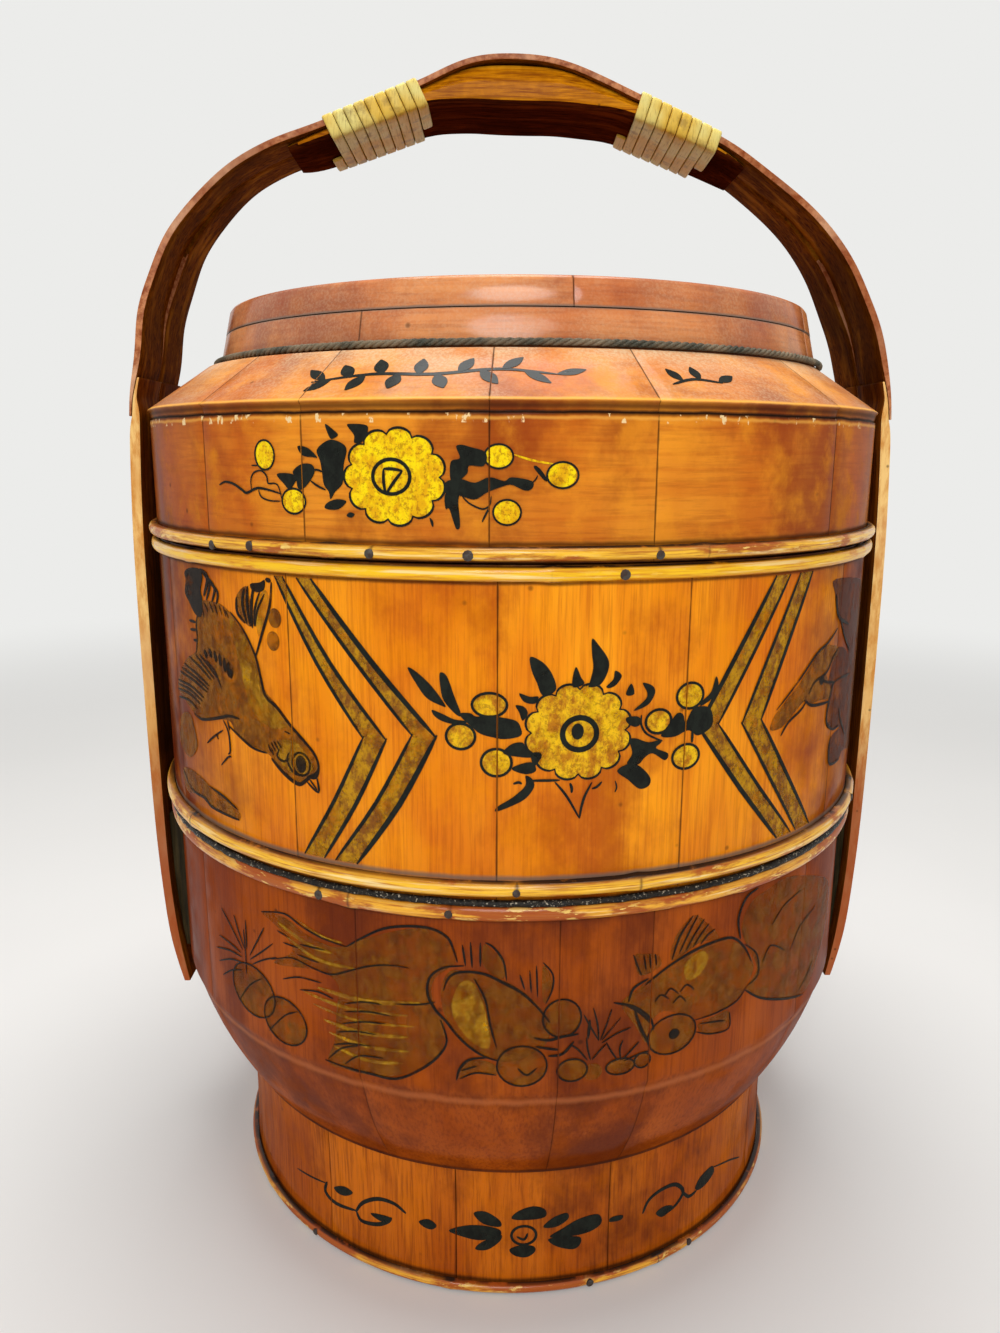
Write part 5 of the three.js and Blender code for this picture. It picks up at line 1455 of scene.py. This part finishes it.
BIRD_BLACK = [
    leaf(-123.1, 255.3, -116.3, 255.7, -113.9, 253.5, -115.8, 248.8, -114.9, 245.7, -116.3, 240.3, -120.6,
        240.4, -124.9, 243.9, -128.2, 246.8, -126.8, 250.9, -127.4, 253.5),
    leaf(-88.1, 253.4, -84.1, 254.1, -81.9, 255, -82.4, 252.1, -85.2, 251.1, -87.6, 251.6),
    leaf(-68.6, 195.7, -65, 197.8, -63.9, 200.7, -63.7, 197.9, -65.2, 195.4),
    line(1.2, -113.7, 254.8, -109.6, 251.4, -112.2, 246),
    line(1.2, -111.2, 253.8, -106.7, 250.4, -108.8, 245.7),
    line(1.2, -109.6, 252, -105.1, 249.3, -106.1, 245.4),
    line(1.6, -115.6, 255.6, -110.6, 253.5, -113.7, 247.1), line(0.6, -113.6, 244.9, -111.4, 242.2),
    line(0.6, -110.3, 245.5, -108.2, 242.4), line(0.6, -107.3, 245.1, -105.7, 242.1),
    line(0.6, -104.6, 245.2, -103, 242), line(0.6, -102.2, 244.8, -100.9, 241.8),
    line(0.6, -115.2, 243, -114.3, 239.9), line(0.6, -101.2, 244, -99.8, 241.6),
    line(0.9, -119.1, 240.6, -120.5, 236.4, -120.3, 232.5, -121.8, 227.5),
    line(1, -125.9, 237.7, -120.7, 237.7), line(1, -125.6, 234.7, -120.5, 235.1),
    line(1, -123.3, 231.4, -120.1, 231.7), line(0.9, -128.1, 225.1, -118.7, 222.6, -112.1, 219.7),
    line(0.9, -133.6, 221.8, -122.1, 220, -113.7, 217.4),
    line(0.9, -138.9, 218, -125.9, 217.3, -115.4, 215.1),
    line(0.9, -142.3, 214.4, -128.1, 214.8, -117.9, 212.6),
    line(0.9, -143.2, 211, -130.5, 211.8, -121.3, 209.9),
    line(0.9, -142.5, 208.2, -130.9, 209.3, -124, 207.6),
    line(0.9, -119.5, 227.2, -114.2, 224.7, -108.2, 221.1),
    line(0.9, -114.7, 226, -109.2, 222.9, -106.1, 218.1),
    line(0.9, -122.7, 226.7, -116.4, 223.7, -110.1, 220.4),
    line(0.9, -136.8, 219.8, -124, 218.6, -114.4, 216.2),
    line(0.9, -141.9, 212.9, -129.1, 213.3, -119.4, 211.2), line(1.8, -115.7, 229.2, -113.9, 226.8),
    line(1.8, -112.2, 230.3, -111, 227.2), line(1.8, -109, 229.8, -108.2, 226.3),
    line(1.8, -106.1, 229.3, -105.6, 225.4), line(1.8, -103.3, 228.4, -103.2, 223.8),
    line(1.8, -101.2, 227.4, -101.3, 222.5), line(1.8, -99.6, 225.3, -100.3, 222.3),
    line(1.1, -126.9, 205.5, -120.5, 204.8, -109.7, 207.4, -102.4, 209.5, -97, 209.5),
    line(0.8, -106.1, 207.4, -103.5, 203.9, -103, 197.9, -104.3, 196.3),
    line(0.7, -109, 191.5, -104.4, 195.3, -102.6, 195.7),
    line(0.8, -106.7, 203.9, -113.2, 200.2, -117.8, 197.1), line(0.7, -103.7, 207.9, -102.6, 204.7),
    line(0.7, -111, 201.8, -109.8, 200.2),
    line(1, -98.6, 243.7, -92.5, 238.7, -87.5, 231.1, -85.4, 223.9, -83.9, 219, -79, 215.9, -74.4, 211.5,
        -69.2, 207.2, -65.3, 203.4, -63.9, 199.8, -64.8, 196.8),
    line(0.9, -102.7, 206.1, -96.5, 203.3, -90.7, 201.1, -84.3, 200.6),
    line(1.3, -82.6, 199.3, -79.4, 196.6, -75.4, 194.1, -71.5, 192.8, -68.7, 194.6, -66.7, 196.2),
    line(0.6, -83.7, 203.6, -82.5, 201.2), line(0.6, -82.5, 204.5, -80.7, 201.9),
    line(0.6, -81.2, 205, -79.2, 202.5), line(0.6, -79.7, 205.3, -78.1, 203.3),
    line(0.6, -76.6, 209, -74.2, 208.4), line(0.6, -82.4, 202.9, -81.7, 200.4),
    line(0.8, -74.9, 202.5, -75.9, 199.8, -73.6, 196.3, -69.8, 195.7),
    line(0.8, -79, 202.8, -80, 200.4, -77.5, 199.2, -75, 200.6),
    line(0.8, -68.7, 194.2, -64.3, 191.4, -64.8, 196.4), line(0.6, -67.5, 195.1, -64.7, 192),
    line(1.2, -95.1, 248.7, -95, 244, -91.4, 241), line(1.2, -91, 251.8, -92.3, 246.8, -90.5, 240.8),
    line(1.2, -89.5, 252.6, -90, 247, -89.1, 240.3), line(1.2, -86.8, 252.8, -88.2, 246.6, -88.2, 239.8),
    line(1, -79.1, 254.6, -80.3, 247.3, -84.4, 237.7, -87.6, 230.5),
    line(0.8, -82.2, 250.8, -85.6, 245.6, -86.8, 240.5), line(0.9, -84.3, 251.2, -86.6, 246.1, -87.3, 240.5),
    line(1.4, -81.5, 255.3, -79.4, 254.9),
    line(1.1, -137.3, 177.2, -131.1, 176.1, -122.2, 176.4, -117.8, 174.8, -108.3, 174.6, -100.1, 174.6),
    line(0.9, -118.3, 181.8, -108.9, 180.7, -100.4, 178), line(0.8, -144, 181.2, -137.3, 177.2),
    ring(-70.5, 199.4, 3.4, 3.6, 0.7), disc(-70.5, 199.4, 2, 2.8),
    line(1.2, 117.7, 247.5, 121.1, 239.7, 133.4, 235.3),
    line(0.9, 121.1, 235.7, 114.1, 232, 105.8, 229.2, 96.7, 222.6, 84.9, 214.1),
    line(0.9, 123.7, 228.8, 118.7, 225.9, 114.4, 221.8, 105.9, 219.9, 102.4, 216.4),
    line(1.1, 100.1, 214.8, 104.3, 212.4, 111.6, 211.4, 118.1, 211.1),
    line(0.9, 87.9, 205.1, 91.6, 209, 98.1, 211.8, 101.4, 214.3),
    line(1.1, 141.9, 216.4, 124.4, 217.3, 120, 215.3, 117.7, 208.8, 117.9, 203.5, 124.3, 199.9, 131.1, 199.8),
    line(0.9, 129.3, 206.3, 133.6, 200.3, 142.2, 193.8),
    line(1.1, 122.8, 197.8, 121.9, 193, 124.2, 187.4, 135.2, 186.3),
    line(1, 123.3, 238.8, 129.4, 231.7, 138.3, 225.3), line(0.9, 110.1, 220.2, 115, 218.3, 122.5, 216.9),
    disc(110.9, 219.7, 1.8, 1.6),
]
FISH_BROWN = [
    leaf(-92, 144, -81, 145, -70, 141, -60, 140, -52, 144, -43, 148, -33, 151, -25, 150, -20, 142, -27, 135,
        -28, 128, -24, 118, -26, 109, -34, 102, -44, 98, -57, 97, -65, 98, -62, 107, -61, 118, -60, 127, -68,
        130, -87, 127, -78, 134, -83, 140),
    leaf(-22, 138, -16, 138, -10, 137, -3, 134, 3, 129, 8, 122, 8, 115, 4, 111, -2, 108, -8, 108, -16, 112,
        -22, 118, -25, 126, -25, 133),
    leaf(-12, 140, -12, 147, -10, 146, -6, 142, -6, 136), leaf(6, 130, 6, 140, 8, 138, 9, 133, 7, 128),
    leaf(-20, 101, -19, 106, -13, 108, -8, 106, -8, 103, -15, 103),
    leaf(36, 129, 42, 133, 51, 137, 61, 140, 70, 139, 78, 134, 83, 126, 80, 120, 75, 116, 66, 114, 57, 115,
        46, 120, 41, 116, 40, 110, 36, 117, 31, 125),
    leaf(80, 133, 76, 141, 79, 149, 88, 152, 104, 152, 140, 137, 143, 120, 133, 110, 123, 102, 112, 102, 91,
        111, 80, 118, 85, 124),
    leaf(48, 137, 49, 145, 55, 151, 60, 148, 66, 141, 58, 141),
    leaf(37, 134, 35, 141, 39, 141, 43, 140, 44, 136), leaf(59, 112, 66, 113, 72, 113, 72, 107, 63, 107),
    disc(-0.1, 106.2, 7.8, 7), disc(49.4, 111, 8.9, 6.9), disc(-99.1, 112.6, 11.9, 9.4),
    disc(-83.1, 107, 9.9, 8.4), disc(12.2, 122.3, 6, 6.5), disc(15.7, 104, 4.8, 3.9),
    disc(22.2, 102.6, 3.2, 2.9), disc(31.4, 103.3, 4.8, 2.8), disc(38.9, 104.1, 2.8, 2.6),
]
FISH_GOLD = [
    leaf(-20, 133, -16, 135, -13, 130, -11, 122, -10, 113, -14, 113, -19, 118, -22, 125),
    leaf(53, 135, 59, 138, 62, 135, 59, 130, 54, 129), line(1.2, -74, 121, -56, 119.5, -36, 121),
    line(1.6, -68, 124, -50, 123.5, -32, 126), line(1, -70, 117.5, -54, 116, -34, 117.5),
    line(1.4, -66, 113, -52, 112, -36, 113.5), line(1.2, -64, 109, -50, 107.5, -36, 108.5),
    line(1.4, -84, 142.5, -72, 138.5, -62, 137.5), line(1.2, -80, 138.5, -68, 134, -54, 134),
    line(1, -76, 146, -66, 142.5, -58, 142), line(1.2, -62, 104.5, -50, 102.5, -38, 104),
]
FISH_BLACK = [
    line(0.7, -92, 144, -81, 146.5, -73.5, 144, -65.5, 142, -56.5, 141),
    line(0.9, -56.5, 141, -51, 145, -43.5, 149.5, -35.5, 151.5, -28, 151.5, -23, 149, -21, 144.5, -20, 141),
    line(0.6, -88, 128, -78.5, 131.5, -70, 130.5, -62.5, 130, -55.5, 133, -48.5, 136, -41.5, 137.5, -35,
        137.5),
    line(0.6, -83, 122.5, -75.5, 125.5, -66.5, 126), line(0.6, -75.5, 121, -68, 122.5, -62, 121.5),
    line(0.6, -84.5, 139.5, -79, 138.5), line(0.6, -82, 136, -75.5, 136), line(0.6, -74.5, 137.5, -64.5, 138),
    line(0.6, -76, 133.5, -67, 133), line(0.6, -57.5, 121, -51.5, 123, -44.5, 123.5),
    line(0.6, -58, 118, -49.5, 120, -42, 120), line(0.6, -59, 113.5, -51.5, 116, -43.5, 117),
    line(0.6, -61, 110, -54, 112, -47, 112.5), line(0.6, -62.5, 105, -56.5, 107, -48.5, 108),
    line(0.6, -40, 124.5, -32, 125.5, -27, 127),
    line(0.9, -66, 98.5, -58, 98, -49.5, 98, -40.5, 98, -32.5, 102.5, -26.5, 108, -23.5, 114, -25.5, 121),
    line(0.6, -64.5, 99.5, -59.5, 104.5, -52, 107.5), line(0.6, -58.5, 99, -53, 103.5, -44.5, 104.5),
    line(0.9, -18, 140, -24, 139, -28.5, 135.5, -29.5, 130, -27.5, 125, -23.5, 120.5, -20.5, 116.5, -16.5,
        112.5, -12, 109.5, -7.5, 108),
    line(0.9, -24.5, 131, -22.5, 136, -18, 138, -11.5, 137.5, -5.5, 134.5, -0.5, 131.5, 4, 127, 8.5, 121),
    line(0.7, -15, 136, -11.5, 129, -10, 120.5, -8, 112.5), line(0.7, -17.5, 140, -18.5, 147),
    line(0.7, -15.5, 139.5, -16, 148), line(0.7, -13, 140, -13, 148),
    line(0.7, -11.5, 148, -9, 146.5, -6, 142, -5, 135.5), line(0.6, 0.5, 132.5, -1, 137.5),
    line(0.6, 2.5, 131.5, 2, 139), line(0.6, 4.5, 130, 4, 140.5),
    line(0.6, 6, 141.5, 9, 137.5, 9, 132.5, 7, 127.5), line(1, 3.5, 116, 8, 115, 12.5, 116, 17.5, 116.5),
    line(1, 8, 109.5, 12.5, 110, 16, 114), line(0.9, 4, 113, 8.5, 112, 11.5, 111.5),
    line(0.9, -20.5, 100.5, -19.5, 104.5, -16.5, 108, -11, 109), line(0.6, -19.5, 101, -14.5, 103.5, -8, 103),
    line(0.6, -19, 104, -14, 106),
    line(1, 39, 130.5, 46, 135, 54.5, 138.5, 63, 140, 71.5, 139.5, 77.5, 134.5, 81.5, 128),
    line(0.7, 77.5, 135.5, 84, 130, 85.5, 122, 80, 119.5),
    line(0.6, 80, 119.5, 75.5, 115.5, 66.5, 114, 57, 114), line(0.9, 33.5, 125.5, 35, 130, 40, 132.5),
    line(1, 28.5, 126, 35.5, 123.5, 41, 118.5, 42.5, 114), line(1.1, 35.5, 122.5, 38, 115.5, 41.5, 108.5),
    line(0.7, 32, 125, 37.5, 121, 41.5, 116.5), line(0.6, 42.5, 124, 44.5, 126, 47.5, 124),
    line(0.6, 46, 125.5, 48, 127.5, 51, 125), line(0.6, 49, 122, 51.5, 124, 54, 121.5),
    line(0.6, 51.5, 125.5, 54, 127.5, 57, 125), line(1, 75.5, 138, 74, 145.5, 77, 152, 82.5, 154),
    line(0.9, 79, 118.5, 87.5, 112.5, 101.5, 106.5, 118, 101),
    line(0.6, 87.5, 125.5, 91.5, 130.5, 100.5, 125.5), line(0.6, 109, 145, 98, 143, 91.5, 138),
    line(0.6, 124, 133.5, 111, 131, 104.5, 124), line(0.6, 125.5, 111, 120.5, 107.5, 113.5, 104.5),
    line(0.8, 48, 137.5, 50.5, 145, 55, 151), line(0.7, 50.5, 139, 53.5, 145, 57, 151),
    line(0.7, 53, 139.5, 56, 144.5, 59.5, 149), line(0.6, 55.5, 140, 58.5, 144, 61.5, 147),
    line(0.6, 58.5, 140.5, 61, 143, 64, 144.5), line(0.6, 37.5, 134, 36, 137.5, 34.5, 141.5),
    line(0.6, 39, 135.5, 38, 141), line(0.6, 40.5, 136, 40, 141), line(0.6, 42.5, 136.5, 42, 140.5),
    line(0.6, 58.5, 109.5, 64.5, 107, 72.5, 106.5, 72.5, 112.5), line(0.6, 60, 112, 66, 111, 70.5, 110),
    line(0.6, -107.5, 105.5, -100.5, 114, -93.5, 119), line(0.6, -91, 100.5, -83, 109, -77, 112.5),
    line(0.6, -103.5, 126, -110, 132, -116.5, 137), line(0.6, -102.5, 127, -106, 133, -108, 137.5),
    line(0.6, -101, 127.5, -101, 138), line(0.6, -99.5, 125.5, -94.5, 133, -91, 138.5),
    line(0.6, -105, 124.5, -112, 125.5, -119.5, 125.5), line(0.6, -104.5, 123, -112.5, 122.5, -123, 119.5),
    line(0.6, -104, 121, -111.5, 119.5, -121, 115), line(0.6, -99.5, 124, -93, 129, -87, 134),
    line(0.6, -98.5, 122.5, -92, 126.5, -85.5, 129.5), line(0.6, -105, 118, -112, 115, -118.5, 110.5),
    line(0.6, -102.5, 134, -102, 126, -102, 117.5), line(0.6, 24, 113.5, 21, 119, 19, 123),
    line(0.6, 24, 113.5, 23.5, 119, 22, 125), line(0.6, 24.5, 113.5, 26.5, 119, 28, 124),
    line(0.6, 25, 113.5, 28, 117, 31, 120.5), line(0.6, 25, 112.5, 29.5, 115, 34.5, 116.5),
    line(0.6, 30.5, 105.5, 28, 109.5, 26.5, 112.5), line(0.6, 31.5, 105.5, 31, 109.5, 32, 112.5),
    line(0.6, 32, 105.5, 35, 108.5, 37.5, 111), line(0.6, 32.5, 105, 37.5, 106.5, 41.5, 107),
    line(0.6, 20.5, 107, 17.5, 111, 15, 113), line(0.6, 21.5, 107, 20.5, 111, 20, 115),
    line(0.6, 22, 107, 24.5, 110, 26.5, 112), line(1, 21, 121, 20.5, 114.5), ring(-0.1, 106.2, 7.8, 7, 0.6),
    ring(49.4, 111, 8.9, 6.9, 0.6), ring(12.2, 122.3, 6, 6.5, 0.6), ring(-99.1, 112.6, 11.9, 9.4, 0.6),
    ring(-83.1, 107, 9.9, 8.4, 0.6), ring(15.7, 104, 4.8, 3.9, 0.6), ring(31.4, 103.3, 4.8, 2.8, 0.6),
    ring(38.9, 104.1, 2.8, 2.6, 0.6), line(0.7, -1.5, 105.5, 1.5, 103, 4.5, 105.5), disc(50, 111, 2, 1.8),
]
FOOT_BLACK = [
    leaf(-2, 29.4, 0.4, 32.5, 5.6, 34.3, 9.8, 32.7, 9.8, 29.5, 3.3, 28.7),
    leaf(-2.7, 16.6, 1.1, 18.3, 5.8, 17.8, 6.5, 15.6, 3.5, 13.4, -0.7, 14.1),
    leaf(-24.5, 22.5, -17.9, 25.6, -10.8, 26, -6, 24.5, -6.5, 21.8, -13.1, 20, -19.1, 20.7),
    leaf(-15.5, 30.9, -11.3, 32, -6.3, 28.7, -6, 26, -11.9, 26.8),
    leaf(-6, 22.7, -6, 20.1, -10.5, 16.3, -14.9, 16.2, -12.5, 19.3),
    leaf(9.3, 25.4, 12.8, 28.9, 17.6, 30.3, 18.3, 27.7, 14, 25),
    leaf(11.7, 21.1, 16.5, 24.1, 22.5, 27, 29.4, 27.4, 30.9, 23.4, 26.4, 20.8, 17.8, 20.3),
    leaf(11.1, 20.1, 16.5, 20.5, 22.7, 19.4, 23, 16.5, 20.3, 14.8, 14.2, 16.9),
    leaf(-35.7, 23.9, -31.9, 25.6, -29, 23.7, -30.7, 21.7, -33.8, 22),
    leaf(33.4, 23.4, 35.3, 24.7, 39.3, 24.2, 38.8, 22.5, 35.4, 22.6),
    leaf(-55.4, 20.8, -49.7, 22, -46.4, 21.6, -49, 19.3, -52.8, 19.3),
    leaf(-72.7, 24.1, -67.5, 26.9, -63.4, 26, -66.8, 23.2, -70.7, 22.5),
    leaf(53.8, 19.7, 57.6, 21, 61.8, 19.3, 59.4, 17.3, 56.3, 17),
    leaf(73.7, 21.2, 76.7, 24.5, 83.6, 25.4, 85.3, 21.8, 80.6, 19.4, 75.8, 19.2),
    line(0.7, -95.1, 20, -86, 21.7, -77.1, 23.6), line(1.6, -76.5, 24.5, -77.5, 19.7, -72.1, 17.5, -62.2, 19),
    line(1.6, -62.2, 18.4, -59, 23.6, -52.3, 28, -45.4, 28.4, -40.7, 25.7),
    line(1.6, -61.9, 18.9, -59.7, 15.8, -52.9, 17, -48.1, 19.9, -46.6, 22.1),
    line(1.6, 47.8, 21.9, 50.5, 26.8, 56.4, 28.9, 62.9, 28, 67, 22.9, 63.4, 19, 58.6, 17.6),
    line(1.4, 66.2, 23.6, 70.1, 19.3, 74.6, 19.6), ring(2.4, 22.4, 4.4, 3.8, 1.0),
    line(1, -0.1, 21.9, 2.5, 20.7, 3.8, 23.2), line(0.7, 84.6, 24.3, 97.1, 20, 107.5, 14.8),
]
CHEVRON_GOLD = [
    band(-77.8, 256.6, -63.5, 232, -48.1, 210, -58.5, 190, -70.5, 170.3, -63, 170.3, -51, 190, -40.8, 210,
        -58.5, 232, -74.7, 256.6),
    band(-69.5, 256.6, -50, 233, -32.8, 212, -44.5, 191, -59, 170.3, -51.5, 170.3, -37.2, 191, -25.6, 212,
        -44.5, 233, -64.3, 256.6),
    band(80.7, 256.6, 66, 234, 52.7, 213, 70.5, 191, 89.4, 170.3, 97.3, 170.3, 78, 191, 60, 213, 73, 234,
        87.4, 256.6),
    band(92.6, 256.6, 80.5, 234, 69.4, 212, 84.5, 191, 100.3, 170.3, 109.3, 170.3, 93, 191, 77.6, 212, 88,
        234, 99.4, 256.6),
]
CHEVRON_BLACK = [
    line(1.2, -77.8, 256.6, -63.5, 232, -48.5, 210.5), line(1.2, -48.1, 211, -58.5, 190, -70.5, 170.3),
    line(1.3, -74.7, 256.6, -58.5, 232, -41, 210.5), line(1.3, -40.8, 211, -51, 190, -63, 170.3),
    line(1.2, -69.5, 256.6, -50, 233, -33, 212.5), line(1.2, -32.8, 213, -44.5, 191, -59, 170.3),
    line(1.7, -64.3, 256.6, -44.5, 233, -26, 212.5), line(1.7, -25.6, 213, -37.2, 191, -51.5, 170.3),
    line(1.6, 80.7, 256.6, 66, 234, 53, 213), line(1.6, 52.7, 213.5, 70.5, 191, 89.4, 170.3),
    line(1.2, 87.4, 256.6, 73, 234, 60.2, 213), line(1.2, 60, 213.5, 78, 191, 97.3, 170.3),
    line(1.2, 92.6, 256.6, 80.5, 234, 69.6, 212), line(1.2, 69.4, 212.5, 84.5, 191, 100.3, 170.3),
    line(1.4, 99.4, 256.6, 88, 234, 77.8, 212), line(1.4, 77.6, 212.5, 93, 191, 109.3, 170.3),
]
SPRIG_BLACK = [
    line(1.5, -62, 9, -44, 12.5, -26, 12, -8, 14.5, 8, 12), petal(3.6, -58, 10, -66, 15.5),
    petal(3.8, -56, 10, -62, 4.5), petal(4.2, -50, 11, -55, 17.5), petal(4.2, -46, 12, -49, 4.5),
    petal(4.4, -41, 12.5, -44, 20), petal(4.4, -36, 12.5, -37, 5), petal(4.2, -30, 12, -30.5, 20),
    petal(4.2, -25, 12, -22, 5), petal(4, -19, 13, -15.5, 20), petal(4, -13, 14, -8, 7),
    petal(3.6, -7, 14.5, -1, 20.5), petal(3.4, -1, 14, 6, 7.5), petal(3.2, 8, 12, 16.5, 14.5),
    line(1.2, 40, 8, 48, 11, 57, 9.5), petal(3.4, 44, 10, 41, 16), petal(3.4, 50, 11, 50, 17.5),
    petal(3.2, 56, 10, 63, 13.5),
]


def foot_surface(height, lift):
    return (foot_radius(height) + lift, height)


def wall_surface(radius):
    return lambda height, lift: (radius + lift, height)


SLOPE_RUN = BEAD_RADIUS - BEAD_ROUND - SHOULDER_TOP_RADIUS
SLOPE_RISE = COLLAR_Z - SEAT_GAP - SHOULDER_Z
SLOPE = math.hypot(SLOPE_RUN, SLOPE_RISE)


def shoulder_surface(climb, lift):
    """The first number of a place on the shoulder is its distance up the slope."""
    radius = BEAD_RADIUS - BEAD_ROUND - climb * SLOPE_RUN / SLOPE + lift * SLOPE_RISE / SLOPE
    return (radius, SHOULDER_Z + climb * SLOPE_RISE / SLOPE + lift * SLOPE_RUN / SLOPE)


def seams_of(tier):
    first, widths = STAVES[tier]
    return [turn_between(first + sum(widths[:count]), 0) for count in range(len(widths))]


PAINTED_WALLS = {  # body, slot, surface, radius at which the distance round it is measured, seams
    "lid": ("lid", "red_lacquer", wall_surface(TIER_RADIUS), TIER_RADIUS, seams_of("lid")),
    "shoulder": ("lid", "red_lacquer", shoulder_surface, 128, seams_of("lid")),
    "middle": ("middle_tier", "amber_lacquer", wall_surface(TIER_RADIUS), TIER_RADIUS, seams_of("middle")),
    "base": ("base", "red_lacquer", wall_surface(BASE_RADIUS), BASE_RADIUS, seams_of("base")),
    "foot": ("base", "dark_lacquer", foot_surface, FOOT_RADIUS, [turn_between(at, 0) for at in FOOT_SEAMS]),
}
UNDER, OVER, TOP = 0.04, 0.12, 0.2  # how far a layer of paint lies off the wall
PAINTINGS = [
    ("lid_flower_gold", "lid", LEAF_GOLD, UNDER, LID_GOLD_STROKES),
    ("lid_flower_black", "lid", BLACK_PAINT, TOP, LID_BLACK_STROKES),
    ("shoulder_sprig", "shoulder", BLACK_PAINT, UNDER, SPRIG_BLACK),
    ("bird_brown", "middle", BROWN_GOLD, OVER, BIRD_BROWN),
    ("bird_dark", "middle", WING_BROWN, UNDER, BIRD_DARK),
    ("bird_gilt", "middle", FISH_GILT, UNDER + OVER, BIRD_GILT),
    ("middle_flower_gold", "middle", DULL_GOLD, UNDER, MIDDLE_FLOWER_GOLD),
    ("chevron_gold", "middle", FADED_GOLD, UNDER, CHEVRON_GOLD),
    ("middle_black", "middle", BLACK_PAINT, TOP, MIDDLE_FLOWER_BLACK + CHEVRON_BLACK),
    ("bird_black", "middle", THIN_BLACK, TOP, BIRD_BLACK),
    ("fish_brown", "base", THIN_BROWN, UNDER, FISH_BROWN),
    ("fish_gold", "base", FISH_GILT, OVER, FISH_GOLD),
    ("fish_black", "base", THIN_BLACK, TOP, FISH_BLACK),
    ("foot_black", "foot", BLACK_PAINT, UNDER, FOOT_BLACK),
]


def make_strokes(outlines):
    """Flat brush strokes in the plane Z 0, each a filled outline with its holes."""
    strokes = []
    for number, loops in enumerate(outlines):
        drawing = bpy.data.curves.new(f"stroke_{number}", "CURVE")
        drawing.dimensions = "2D"
        drawing.fill_mode = "BOTH"
        for loop in loops:
            spline = drawing.splines.new("POLY")
            spline.points.add(len(loop) - 1)
            spline.use_cyclic_u = True
            for point, place in zip(spline.points, loop):
                point.co = (place.x * MM, place.y * MM, 0, 1)
        strokes.append(add_object(f"stroke_{number}", drawing))
    make_active(strokes[0])
    for stroke in strokes:
        stroke.select_set(True)
    bpy.ops.object.convert(target="MESH")
    for number, stroke in enumerate(strokes):
        stroke.data.transform(Matrix.Translation((0, 0, (number % STROKES_IN_STEP) * STROKE_LIFT * MM)))
    return strokes


def cut_across(places):
    """Cuts the flat paint at each distance round the wall."""
    for place in places:
        bpy.ops.mesh.select_all(action="SELECT")
        bpy.ops.mesh.bisect(plane_co=(place * MM, 0, 0), plane_no=(1, 0, 0))


def lay_paint(name, wall, material, lift, outlines):
    """Strokes drawn flat, broken at the seams between staves, thickened and bent round the wall."""
    body, slot, surface, radius, seams = PAINTED_WALLS[wall]
    paint = join_pieces(name, make_strokes(outlines))
    reach = [vertex.co.x / MM for vertex in paint.data.vertices]
    breaks = [math.radians(seam) * radius for seam in seams]
    breaks = [place for place in breaks if min(reach) < place < max(reach)]
    to_mode("EDIT")
    cut_across(range(math.floor(min(reach)), math.ceil(max(reach)), CUT_STEP))
    cut_across([place + side * SEAM_BREAK for place in breaks for side in (-1, 1)])
    bpy.ops.mesh.select_mode(type="FACE")
    bpy.ops.mesh.select_all(action="DESELECT")
    to_mode("OBJECT")
    for face in paint.data.polygons:
        face.select = any(abs(face.center.x / MM - place) < SEAM_BREAK for place in breaks)
    to_mode("EDIT")
    bpy.ops.mesh.delete(type="FACE")
    bpy.ops.mesh.select_mode(type="VERT")
    apply_modifier(paint, "SOLIDIFY", thickness=PAINT_THICKNESS * MM, offset=1)
    for vertex in paint.data.vertices:
        ring_radius, height = surface(vertex.co.y / MM, lift + vertex.co.z / MM)
        vertex.co = on_ring(ring_radius, height, math.degrees(vertex.co.x / MM / radius))
    face_outwards()
    smooth_up_to(paint, PAINT_SMOOTH)
    dress(paint, body, material)


# The basket
add_camera()
light_room()
add_floor()
make_staves("base", "base", BASE_WOOD)
make_staves("middle", "middle_tier", MIDDLE_WOOD)
make_staves("lid", "lid", LID_WOOD)
for row in SEGMENT_RINGS:
    make_segments(*row)
for row in HOOPS:
    make_hoop(*row)
make_hoop_nails()
make_laths()
make_grip()
make_cord()
make_crust()
for board in ("base_floor", "middle_floor"):
    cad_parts[board].data.materials.clear()
    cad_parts[board].data.materials.append(INSIDE_WOOD)
panel = copy_of("lid_panel", "top_panel")
soften(panel, 0.5)
dress(panel, "lid", PANEL_WOOD, ["lid_panel"])
for row in PAINTINGS:
    lay_paint(*row)

to_mode("OBJECT")
